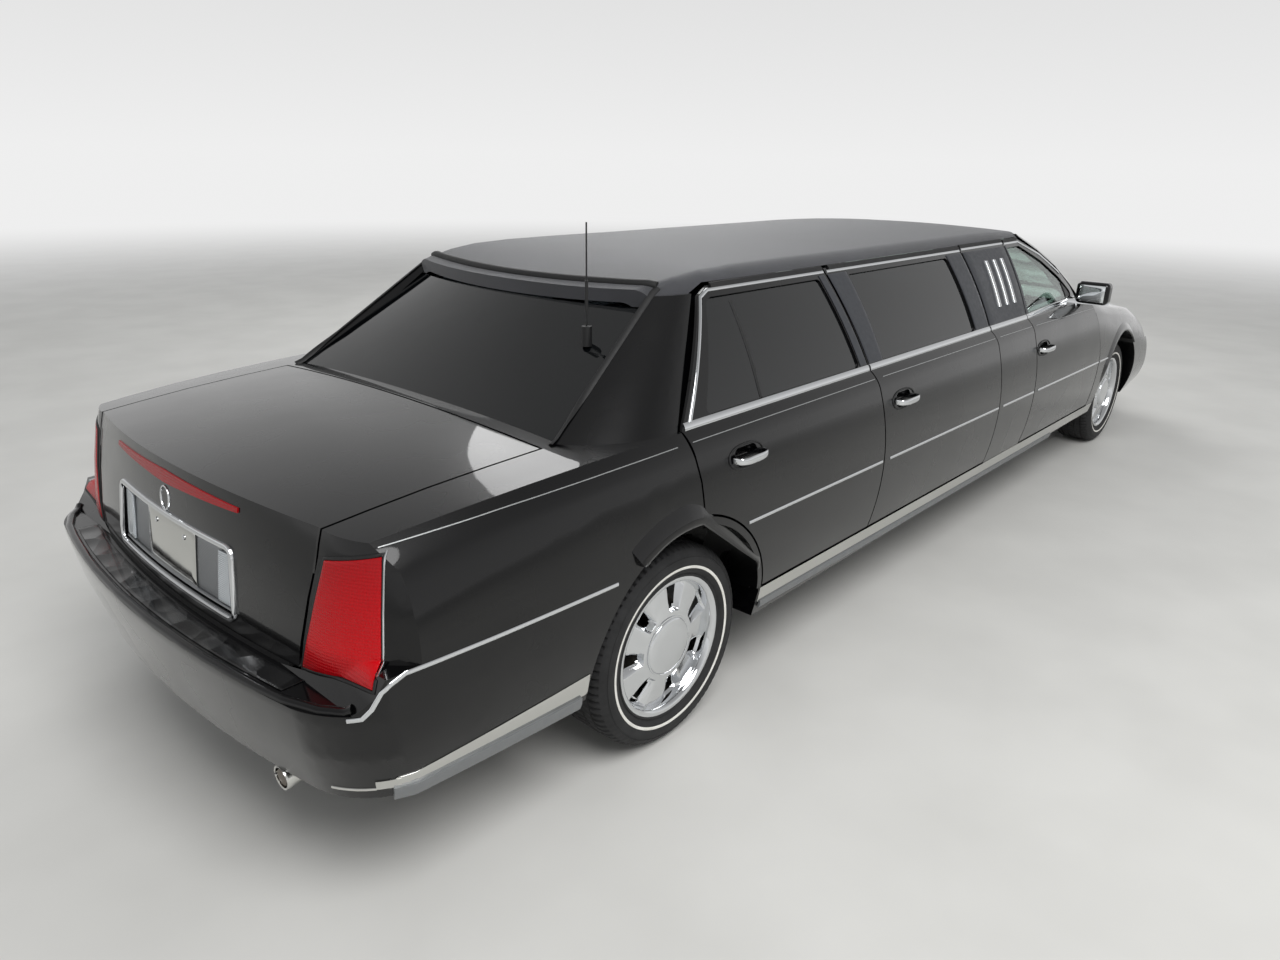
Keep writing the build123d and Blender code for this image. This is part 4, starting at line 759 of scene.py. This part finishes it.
def stripe_z(x):
    """Height of the coach line at a length from the rear axle."""
    for (x0, z0), (x1, z1) in zip(stripe_points, stripe_points[1:]):
        if x <= x1:
            return z0 + (z1 - z0) * (x - x0) / (x1 - x0)
    return stripe_points[-1][1]


stripe_spans = {"quarter": (-0.925, 0.052), "rear": (0.068, 1.157), "middle": (1.173, 2.322),
                "filler": (2.338, 2.797), "front": (2.813, 3.930), "wing": (3.950, 4.900)}
stripe_section = [(-0.0013, -0.0005), (-0.0013, 0.0004), (0.0013, 0.0004), (0.0013, -0.0005)]
for side, y in sides:
    for panel, (start, end) in stripe_spans.items():
        panel_skin, body = panel_of(panel, side)
        count = math.ceil((end - start) / 0.05)
        lengths = [start + (end - start) * i / count for i in range(count + 1)]
        path = [(rear_axle + x, stripe_z(x)) for x in lengths]
        fit(side_bar(f"coach_line_{panel}_{side}", panel_skin, y, path, stripe_section), body,
            stripe_paint)

# Back glass surround: a black extruded rubber lies over the joint of the glass with the roof and pillars.
# The one along the top is wide and stands proud, and the two at the sides are narrow and flat.
back_skin = skin("back_glass", "roof", "rear_quarters", "rear_deck")
down_glass = Vector((0.55, 0, -0.83))
side_line = [(rear_axle - 0.302, 0.690, 1.000), (rear_axle + 0.262, 0.582, 1.350)]
arc_half = 0.575
top_arc = [(rear_axle + 0.268 - 0.094 * (1 - (y / arc_half) ** 2), y, 1.352)
           for y in [arc_half - 2 * arc_half * i / 24 for i in range(25)]]
for name, points, section in (("left", side_line, crowned(0.020, 0.004)),
                              ("right", [(x, -y, z) for x, y, z in side_line], crowned(0.020, 0.004)),
                              ("top", top_arc, crowned(0.030, 0.014))):
    starts = [Vector(point) - down_glass * 0.3 for point in spaced(points, 0.03)]
    fit(laid(f"back_glass_seal_{name}", back_skin, starts, down_glass, section), "body",
        black_rubber)

# Tail lamps: ribbed red acrylic lenses in black rubber gaskets, each with a thin bright inner edge.
# Ribs 6 mm apart run upright on the back, others 8 mm apart cross them, and the lens's foot is painted darker
# as shade.
# The ribs' pitch is that of a wave: its bands are 314 mm divided by its scale apart.
red_lens_painted_glow_and_shade, tree, shader = finish("ribbed_red_lens_painted_glow_and_shade", "8E0610", 0.20, Specular_IOR_Level=0.2, Coat_Weight=0.2,
                                Coat_Roughness=0.03)
where = add_node(tree, "ShaderNodeTexCoord")
split = add_node(tree, "ShaderNodeSeparateXYZ", {"Vector": where.outputs["Object"]})
# Painted light in the lens's red: painted shade at its foot, a painted glow in a band just above it, then
# dimmer again towards its top.
glow = add_node(tree, "ShaderNodeValToRGB", {"Fac": split.outputs["Z"]})
glow.color_ramp.elements[0].position, glow.color_ramp.elements[0].color = 0.60, linear("7A0008")
glow.color_ramp.elements[1].position, glow.color_ramp.elements[1].color = 0.93, linear("9A000A")
middle = glow.color_ramp.elements.new(0.70)
middle.color = linear("C0000C")
tree.links.new(glow.outputs["Color"], shader.inputs["Base Color"])
turned_way = add_node(tree, "ShaderNodeMapping", {"Vector": where.outputs["Object"]})
turned_way.inputs["Rotation"].default_value = (0, 0, math.radians(90))
ribs = add_node(tree, "ShaderNodeTexWave", {"Vector": turned_way.outputs["Vector"]}, Scale=52.0,
                Distortion=0.0, bands_direction="X")
cross_ribs = add_node(tree, "ShaderNodeTexWave", {"Vector": where.outputs["Object"]}, Scale=40.0,
                      Distortion=0.0, bands_direction="Z")
both_ribs = add_node(tree, "ShaderNodeMath", {0: ribs.outputs["Fac"], 1: cross_ribs.outputs["Fac"]},
                     operation="ADD")
roughen(tree, shader, both_ribs.outputs[0], 0.25, 0.0015)
dress(["brake_lamp"], red_lens_painted_glow_and_shade)
lamp_gasket_black, tree, shader = finish("lamp_gasket", "0B0B0C", 0.5)
vary(tree, shader, "Roughness", 90.0, 0.42, 0.58)
dress(["tail_lamps"], lamp_gasket_black)
tail_skin = skin("tail_lamps", "rear_quarters", "boot_lid", "rear_bumper")
lamp_corners = [(-1.052, 0.640, 0.622), (-0.990, 0.870, 0.652), (-0.905, 0.815, 0.934),
                (-1.012, 0.712, 0.904)]


def closed_path(points, gap=0.02):
    """The points of a loop, with more between them, and the first one not repeated at its end."""
    return spaced([tuple(point) for point in (*points, points[0])], gap)[:-1]


for side, y in sides:
    way = Vector((0.80, -0.60 * y, 0))
    corners = [Vector((rear_axle + x, half * y, z)) - way * 0.3 for x, half, z in lamp_corners]
    middle = sum(corners, Vector()) / 4
    inner = [corner.lerp(middle, 0.03) for corner in corners]
    fit(draped(f"tail_lens_{side}", tail_skin, patch(inner, 16, 28), way, 0.0005, 0.0045), "body",
        red_lens_painted_glow_and_shade)
    fit(laid(f"tail_lamp_gasket_{side}", tail_skin, closed_path(corners, 0.012), way, crowned(0.009, 0.004),
             loop=True), "body", lamp_gasket_black)
    low_end, high_end = corners[1].lerp(middle, -0.03), corners[2].lerp(middle, -0.03)
    bright = spaced([tuple(low_end.lerp(high_end, 0.12)), tuple(high_end)], 0.012)
    fit(laid(f"tail_lamp_bright_edge_{side}", tail_skin, bright, way, crowned(0.005, 0.005)), "body",
        chrome)

# Plate housing: a chromed frame round the recess, a ribbed grey back panel, a blank plate, and a ribbed
# reversing lamp at each end. A plain bright ring marks the bare boss above it.
# The back panel's ribs are 4 mm apart and the reversing lenses' 5 mm.
boot_skin = skin("boot_lid")
behind = rear_axle - 1.35
plate_foot_z, plate_top_z, plate_half, housing_half = 0.668, 0.820, 0.1525, 0.345


def rounded(half_low, half_high, low, high, radius, steps=8):
    """Points round a rounded box seen from behind, narrowing with height."""
    centres = [(half_high - radius, high - radius, 0), (-half_high + radius, high - radius, 90),
               (-half_low + radius, low + radius, 180), (half_low - radius, low + radius, 270)]
    return [(behind, cy + radius * math.cos(math.radians(start + 90 * i / steps)),
             cz + radius * math.sin(math.radians(start + 90 * i / steps)))
            for cy, cz, start in centres for i in range(steps + 1)]


def across_car(x, foot, top, low, high, columns, rows):
    """Starts at one x for a patch whose foot and top, at two heights, each run from one y to another."""
    return patch([(x, foot[0], low), (x, foot[1], low), (x, top[1], high), (x, top[0], high)], columns, rows)


frame_path = closed_path(rounded(0.364, 0.353, 0.650, 0.836, 0.026))
fit(laid("plate_frame", boot_skin, frame_path, (1, 0, 0), crowned(0.016, 0.009), loop=True), "boot_lid",
    chrome)
housing_span, plate_span = (-housing_half, housing_half), (-plate_half, plate_half)
panel_grid = across_car(behind, housing_span, (-0.335, 0.335), plate_foot_z, plate_top_z, 24, 6)
pocket_grey, tree, shader = finish("ribbed_pocket_grey", "8B8D8F", 0.35, 0.7)
relief(tree, shader, "ShaderNodeTexWave", "Fac", 0.4, 0.0015, Scale=75.0, Distortion=0.0, bands_direction="Z")
fit(draped("plate_back_panel", boot_skin, panel_grid, (1, 0, 0), 0.0005, 0.0015), "boot_lid",
    pocket_grey)
plate_grid = across_car(behind, plate_span, plate_span, plate_foot_z, plate_top_z, 12, 6)
fit(draped("number_plate_blank", boot_skin, plate_grid, (1, 0, 0), 0.0045, 0.0012), "boot_lid",
    polished)
clear_lens, tree, shader = finish("ribbed_clear_lens", "C8CED2", 0.12, 0.35, Coat_Weight=0.6,
                                  Coat_Roughness=0.04)
relief(tree, shader, "ShaderNodeTexWave", "Fac", 0.5, 0.002, Scale=60.0, Distortion=0.0, bands_direction="Z")
screw_section = [(-0.004, 0.003), (-0.004, 0.0075), (0.001, 0.008), (0.001, 0.003)]
for side, y in sides:
    foot = sorted((0.272 * y, 0.334 * y))
    lens_grid = across_car(behind, foot, [end + 0.004 * y for end in foot], 0.676, 0.812, 6, 14)
    fit(draped(f"reversing_lens_{side}", boot_skin, lens_grid, (1, 0, 0), 0.002, 0.008), "boot_lid",
        clear_lens)
    screw = [(x, across + 0.0889 * y, z) for x, across, z in rounded(0.006, 0.006, 0.784, 0.796, 0.0058, 4)]
    fit(laid(f"plate_screw_{side}", boot_skin, screw, (1, 0, 0), screw_section, loop=True), "boot_lid",
        chrome)
lip_grid = across_car(behind, housing_span, housing_span, 0.6640, 0.672, 24, 2)
fit(draped("plate_lower_lip", boot_skin, lip_grid, (1, 0, 0), 0.001, 0.010), "boot_lid",
    pocket_grey)


def upright_ring(x, y, z, half_y, half_z, count):
    """Points round an ellipse that stands across the car."""
    return [(x, y + half_y * math.cos(a), z + half_z * math.sin(a)) for a in around(count)]


fit(laid("boss_ring", boot_skin, upright_ring(behind, 0, 0.878, 0.026, 0.032, 48), (1, 0, 0),
         crowned(0.006, 0.004), loop=True), "boot_lid", chrome)

# Rear bumper: a rounded ridge runs along the top's rear edge and round its corners, painted with it.
# A black moulded pad with shallow dents, a hand's width apart, lies on the step inside the ridge.
bumper_top_skin, above = skin("rear_bumper"), 1.3
half_ridge = [(-1.046, 0.849), (-1.056, 0.839), (-1.070, 0.818), (-1.090, 0.790), (-1.123, 0.700),
              (-1.141, 0.600), (-1.155, 0.500), (-1.167, 0.400), (-1.176, 0.300), (-1.186, 0.100)]
ridge_path = spaced([(rear_axle + x, across, above) for x, across in half_ridge]
                    + [(rear_axle + x, -across, above) for x, across in reversed(half_ridge)], 0.02)
fit(laid("rear_bumper_ridge", bumper_top_skin, ridge_path, (0, 0, -1), crowned(0.024, 0.011, 0.003)), "body",
    paint)
pad_grid = []
for i in range(7):
    share = i / 6
    pad_grid.append([Vector((rear_axle - 1.166 + 0.125 * across ** 2 + share * (0.062 - 0.013 * across ** 2),
                             across, above)) for across in [0.66 * (k / 30 - 1) for k in range(61)]])
step_black, tree, shader = finish("dented_step_pad", "0C0C0D", 0.22, Coat_Weight=0.3)
relief(tree, shader, "ShaderNodeTexVoronoi", "Distance", 0.6, 0.02, Scale=11.0)
fit(draped("rear_step_pad", bumper_top_skin, pad_grid, (0, 0, -1), bond_gap, 0.003), "body",
    step_black)

# Exhaust: stamped steel with a film of rust, and a bright rolled tip under the bumper's right end.
# The tip is a thin stainless sleeve pushed over the pipe's end, turned a little inwards at its mouth.
rusty_steel, tree, shader = finish("weathered_exhaust_steel", "6E655C", 0.5, 0.8)
vary(tree, shader, "Base Color", 14.0, "5A4B40", "7C766E")
dress(["exhaust"], rusty_steel)
tip_end, tip_run = Vector((-3.301, -0.580, 0.318)), Vector((-0.995, -0.0165, -0.0370)).normalized()
tip_across = tip_run.cross(Vector((0, 0, 1))).normalized()
tip_up = tip_across.cross(tip_run)
rows = []
for back, radius in ((0.120, 0.0275), (0.116, 0.0300), (0.020, 0.0310), (0.006, 0.0330), (0.0, 0.0320),
                     (0.001, 0.0280), (0.030, 0.0262), (0.060, 0.0260)):
    rows.append([tip_end - tip_run * back + (tip_across * math.cos(a) + tip_up * math.sin(a)) * radius
                 for a in around(40)])
fit(rolled("exhaust_tip_sleeve", rows, False, 35), "body", polished)
applied(bpy.context.object, "wall", "SOLIDIFY", thickness=0.0008, offset=-1)

# Underside: floor pan, beams and arms in black chassis paint, satin and a little dusty.
# The knuckles are rough cast iron and the engine is bare cast aluminium with a dull, uneven skin.
chassis_paint, tree, shader = finish("black_chassis_paint", "161617", 0.55)
vary(tree, shader, "Base Color", 6.0, "121213", "1F1E1C")
dress(["floor", "front_subframe", "rear_axle_beam"], chassis_paint)
dress(["knuckle_left", "knuckle_right"], cast_iron)
cast_aluminium, tree, shader = finish("cast_aluminium", "8A8B8A", 0.5, 0.85)
casting = vary(tree, shader, "Roughness", 60.0, 0.42, 0.60)
roughen(tree, shader, casting.outputs["Fac"], 0.2, 0.0005)
dress(["engine"], cast_aluminium)
dress(["lid_seals"], black_rubber)
dress(["aerial"], black_plastic)

# Front end: an egg-crate grille in bright chrome and clear headlamp lenses with bright reflector rings.
# An amber turn lens, moulded in acrylic, is set outside each pair of lamps.
dress(["grille"], chrome)
dress(["headlamps"], clear_lens)
headlamp_skin = skin("headlamps")
amber, tree, shader = finish("amber_lens", "9C4A12", 0.15, Coat_Weight=0.6)
vary(tree, shader, "Roughness", 40.0, 0.12, 0.2)
front, lamp_radius = front_axle + 1.6, 0.048
for side, y in sides:
    for number, across in enumerate((0.500, 0.612), 1):
        ring = upright_ring(front, y * across, 0.657, lamp_radius, lamp_radius, 40)
        fit(laid(f"headlamp_ring_{number}_{side}", headlamp_skin, ring, (-1, 0, 0), crowned(0.010, 0.004),
                 loop=True), "body", chrome)
    span = sorted((0.712 * y, 0.786 * y))
    turn_grid = across_car(front, span, span, 0.604, 0.706, 10, 10)
    fit(draped(f"turn_lens_{side}", headlamp_skin, turn_grid, (-1, 0, 0), 0.0005, 0.003), "body",
        amber)

# Front bumper: a bright bead clipped round the black cover, and a slatted moulded air intake low down.
# The intake's slats are drawn as a relief, 12 mm apart.
nose_skin = skin("front_bumper")
bead_path = spaced([(front, -0.800, 0.546), (front, 0.800, 0.546)], 0.03)
fit(laid("front_bright_bead", nose_skin, bead_path, (-1, 0, 0), crowned(0.007, 0.004)), "body",
    chrome)
intake_black, tree, shader = finish("slatted_intake_black", "0A0A0B", 0.5)
relief(tree, shader, "ShaderNodeTexWave", "Fac", 0.8, 0.006, Scale=26.0, Distortion=0.0, bands_direction="Z")
intake_grid = across_car(front, (-0.420, 0.420), (-0.450, 0.450), 0.300, 0.385, 30, 8)
fit(draped("front_air_intake", nose_skin, intake_grid, (-1, 0, 0), bond_gap, 0.003), "body",
    intake_black)

# Window bars: a black rubber division bar in each rear door's glass, and a moulded black corner plate
# ahead of each front door's glass, where the mirror stands.
for side, y in sides:
    bar = [(rear_axle + 0.474, window_foot_z + 0.002), (rear_axle + 0.508, window_top_z - 0.022)]
    glass_skin = skin(f"glass_rear_{side}", f"door_rear_{side}")
    fit(side_bar(f"window_bar_{side}", glass_skin, y, bar, crowned(0.014, 0.003), 0.03), f"door_rear_{side}",
        black_rubber)
    corners = [(seam_e - 0.352, window_foot_z + 0.004), (seam_e - 0.262, window_foot_z + 0.004),
               (seam_e - 0.318, 1.072), (seam_e - 0.392, 1.112)]
    fit(side_plate(f"mirror_corner_plate_{side}", skin(f"glass_front_{side}"), y, corners, 0.003, 6, 6),
        f"door_front_{side}", black_plastic)

# Door mirrors: silvered glass bonded into the open backs of the black housings.
# It is almost a perfect mirror, with a trace of haze.
mirror_glass, tree, shader = finish("silvered_mirror", "E4E8EA", 0.02, 1.0)
vary(tree, shader, "Roughness", 3.0, 0.015, 0.03)
for side, y in sides:
    span = sorted((0.868 * y, 1.000 * y))
    grid = across_car(seam_e - 0.6, span, span, 1.022, 1.112, 6, 5)
    fit(draped(f"mirror_glass_{side}", door_skins[side]["front"], grid, (1, 0, 0), 0.0005, 0.002),
        f"door_front_{side}", mirror_glass)

# Wipers: pressed arms in satin black with rubber blades, parked along the foot of the windscreen.
# Each arm lies over the inner end of its blade, and their paths follow the curved foot of the glass.
screen_skin = skin("windscreen", "cowl")
on_screen = Vector((-0.558, 0, -0.830))
blade_points = [(0.66, 1.030), (0.56, 1.026), (0.46, 1.024), (0.36, 1.022), (0.26, 1.022), (0.16, 1.022)]
blade_section = [(-0.004, 0.0005), (-0.006, 0.012), (-0.003, 0.018), (0.003, 0.018), (0.006, 0.012),
                 (0.004, 0.0005)]
arm_points = [(0.14, 0.992), (0.20, 1.000), (0.28, 1.010), (0.40, 1.020)]
arm_section = [(-0.009, 0.019), (-0.008, 0.026), (0.008, 0.026), (0.009, 0.019)]
for side, y in sides:
    for name, points, section, slot, material in (
            ("blade", blade_points, blade_section, "black_rubber", black_rubber),
            ("arm", arm_points, arm_section, "black_plastic", satin_grey)):
        on_glass = [Vector((seam_e + 0.150 - 0.383 * (y * across) ** 2 - 1.49 * (z - 0.985), across * y, z))
                    for across, z in points]
        starts = [point - on_screen * 0.2 for point in on_glass]
        fit(laid(f"wiper_{name}_{side}", screen_skin, starts, on_screen, section), "body", material)

# Seats: three rows of padded black leather, sewn in flutes; the two rows behind are benches.
# Each pad is blown up against its seams, then its stitch lines, a hand's width apart, pull it in.
leather, tree, shader = finish("black_seat_leather", "1B1B1D", 0.46, Specular_IOR_Level=0.45)
vary(tree, shader, "Roughness", 9.0, 0.38, 0.55)
relief(tree, shader, "ShaderNodeTexVoronoi", "Distance", 0.25, 0.0004, Scale=650.0)
flute_pitch, pad_swell, stitch_depth, stitch_spread = 0.115, 0.022, 0.011, 0.012
border_share, rim_share, pressure, settling_frames = 0.84, 0.94, 4, 20


def stuffed(length, width, depth, voxel, fluted):
    """A pad about the origin (x along, y across, z up), blown up by a short cloth run and then sewn."""
    bpy.ops.mesh.primitive_cube_add(size=1)
    piece = bpy.context.object
    piece.scale = (length - 2 * pad_swell, width - 2 * pad_swell, depth - 2 * pad_swell)
    bpy.ops.object.transform_apply(location=False, rotation=False, scale=True)
    applied(piece, "corner", "BEVEL", width=depth * 0.25, segments=4)
    piece.data.remesh_voxel_size = voxel
    bpy.ops.object.voxel_remesh()
    stuffing = piece.modifiers.new("stuffing", "CLOTH")
    stuffing.settings.use_pressure = True
    stuffing.settings.uniform_pressure_force = pressure
    stuffing.settings.effector_weights.gravity = 0
    for number in range(1, settling_frames + 1):
        bpy.context.scene.frame_set(number)
    blown = piece.evaluated_get(bpy.context.evaluated_depsgraph_get()).data
    moves = [after.co - before.co for after, before in zip(blown.vertices, piece.data.vertices)]
    piece.modifiers.remove(stuffing)
    for vertex, move in zip(piece.data.vertices, moves):
        vertex.co += move * min(1, pad_swell / max(move.length, 1e-6))
    bpy.context.scene.frame_set(1)
    for vertex in piece.data.vertices:
        x, y, z = vertex.co
        edge = max(abs(x) / (length / 2), abs(y) / (width / 2))
        if z > 0 and fluted and edge < rim_share:
            stitch = abs((y / flute_pitch + 0.5) % 1 - 0.5) * flute_pitch
            border = abs(edge - border_share) * width / 2
            flute = math.exp(-(stitch / stitch_spread) ** 2) if edge < border_share else 0.0
            vertex.co.z -= stitch_depth * max(flute, math.exp(-(border / stitch_spread) ** 2))
    return piece


def placed(name, form, middle, along, up, stretch=1):
    """A padded leather piece shaped as a form, about a middle point, given its own x and z directions."""
    piece = form.copy()
    piece.data = form.data.copy()
    piece.name = piece.data.name = name
    bpy.context.collection.objects.link(piece)
    across = up.cross(along)
    for vertex in piece.data.vertices:
        x, y, z = vertex.co
        vertex.co = middle + along * x + across * (y * stretch) + up * z
    for polygon in piece.data.polygons:
        polygon.use_smooth = True
    return fit(piece, "body", leather)


flat, flat_up = Vector((1, 0, 0.046)).normalized(), Vector((-0.046, 0, 1)).normalized()
lean, lean_up = Vector((-0.17, 0, 1)).normalized(), Vector((1, 0, 0.17)).normalized()
form_widths, form_voxels = {"bench": 1.200, "chair": 0.510}, {"bench": 0.012, "chair": 0.009}
forms = {kind: (stuffed(0.525, width, 0.132, form_voxels[kind], True),
                stuffed(0.620, width, 0.112, form_voxels[kind], True)) for kind, width in form_widths.items()}
rest_form = stuffed(0.150, 0.250, 0.090, 0.007, False)
seat_rows = {"rear": (rear_axle + 0.110, 0.455, "bench", ((-0.600, 0.600),)),
             "middle": (seam_b + 0.270, 0.260, "bench", ((-0.640, 0.640),)),
             "front": (seam_d + 0.150, 0.260, "chair", ((-0.630, -0.120), (0.120, 0.630)))}
for row, (hip, base_z, kind, spans) in seat_rows.items():
    for number, (low_y, high_y) in enumerate(spans, 1):
        mid_y, half_y = (low_y + high_y) / 2, (high_y - low_y) / 2
        stretch = half_y / (form_widths[kind] / 2)
        cushion = placed(f"seat_cushion_{row}_{number}", forms[kind][0], Vector((hip + 0.250, mid_y, 0.546)),
                         flat, flat_up, stretch)
        back = placed(f"seat_back_{row}_{number}", forms[kind][1], Vector((hip - 0.105, mid_y, 0.800)), lean,
                      lean_up, stretch)
        bpy.ops.mesh.primitive_cube_add(size=1)
        base = bpy.context.object
        base.name = base.data.name = f"seat_base_{row}_{number}"
        for vertex in base.data.vertices:
            vertex.co = Vector((hip + 0.215 + 0.450 * vertex.co.x, mid_y + (2 * half_y - 0.12) * vertex.co.y,
                                (base_z + 0.485) / 2 + (0.485 - base_z) * vertex.co.z))
        applied(base, "round", "BEVEL", width=0.012, segments=3)
        bpy.ops.object.shade_smooth_by_angle(angle=math.radians(35))
        fit(base, "body", black_plastic)
        for piece in (cushion, back, base):
            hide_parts("seats")
        if row == "front":
            placed(f"head_rest_{number}", rest_form, Vector((hip - 0.172, mid_y, 1.168)), lean, lean_up)
for form in (*forms["bench"], *forms["chair"], rest_form):
    bpy.data.objects.remove(form)

# Cabin trim: a moulded black dashboard and wheel, charcoal carpet, door cards and a pale cloth headliner.
# The carpets, cards and headliner are glued to the metal and follow it; the tufts are drawn 4 mm wide.
dress(["dashboard"], black_plastic)
dress(["steering_wheel"], leather)
carpet, tree, shader = finish("charcoal_carpet", "232326", 0.95, Sheen_Weight=0.3)
tuft = vary(tree, shader, "Base Color", 260.0, "1A1A1C", "2E2E32")
roughen(tree, shader, tuft.outputs["Fac"], 0.8, 0.003)
floor_skin = skin("floor")
for name, x_from, x_to, half, start_z in (
        ("cabin", rear_axle + 0.460, seam_e - 0.050, 0.690, 0.420),
        ("boot", rear_axle - 1.020, rear_axle - 0.230, 0.560, 0.580)):
    grid = patch([(x_from, -half, start_z), (x_to, -half, start_z), (x_to, half, start_z),
                  (x_from, half, start_z)], 30, 12)
    fit(draped(f"carpet_{name}", floor_skin, grid, (0, 0, -1), bond_gap, 0.006), "body", carpet)
headliner, tree, shader = finish("headliner_cloth", "B9B6AF", 0.9, Sheen_Weight=0.2)
vary(tree, shader, "Base Color", 180.0, "B1AEA7", "C1BEB7")
lining_half, lining_z, lining_from, lining_to = 0.500, 1.200, rear_axle + 0.420, seam_e - 1.000
grid = patch([(lining_from, -lining_half, lining_z), (lining_to, -lining_half, lining_z),
              (lining_to, lining_half, lining_z), (lining_from, lining_half, lining_z)], 40, 14)
fit(draped("headliner", skin("roof"), grid, (0, 0, 1), bond_gap, 0.003), "body", headliner)
card_spans = {"rear": (door_start + 0.300, seam_b - 0.100), "middle": (seam_b + 0.100, seam_c - 0.100),
              "front": (seam_d + 0.100, seam_e - 0.260)}
rest_section = [(-0.030, 0.004), (-0.026, 0.046), (0.014, 0.052), (0.026, 0.040), (0.030, 0.004)]
for side, y in sides:
    for door, (x_from, x_to) in card_spans.items():
        panel_skin, body = panel_of(door, side)
        foot = 0.780 if door == "rear" else 0.500
        grid = patch([(x_from, 0, foot), (x_to, 0, 0.500), (x_to, 0, 0.975), (x_from, 0, 0.975)], 16, 10)
        fit(draped(f"door_card_{door}_{side}", panel_skin, grid, (0, y, 0), bond_gap, 0.005), body,
            leather)
        starts = [(x_from + (x_to - x_from) * (0.25 + 0.06 * i), 0, 0.800) for i in range(10)]
        fit(laid(f"door_armrest_{door}_{side}", panel_skin, starts, (0, y, 0), rest_section, crease=50), body,
            leather)
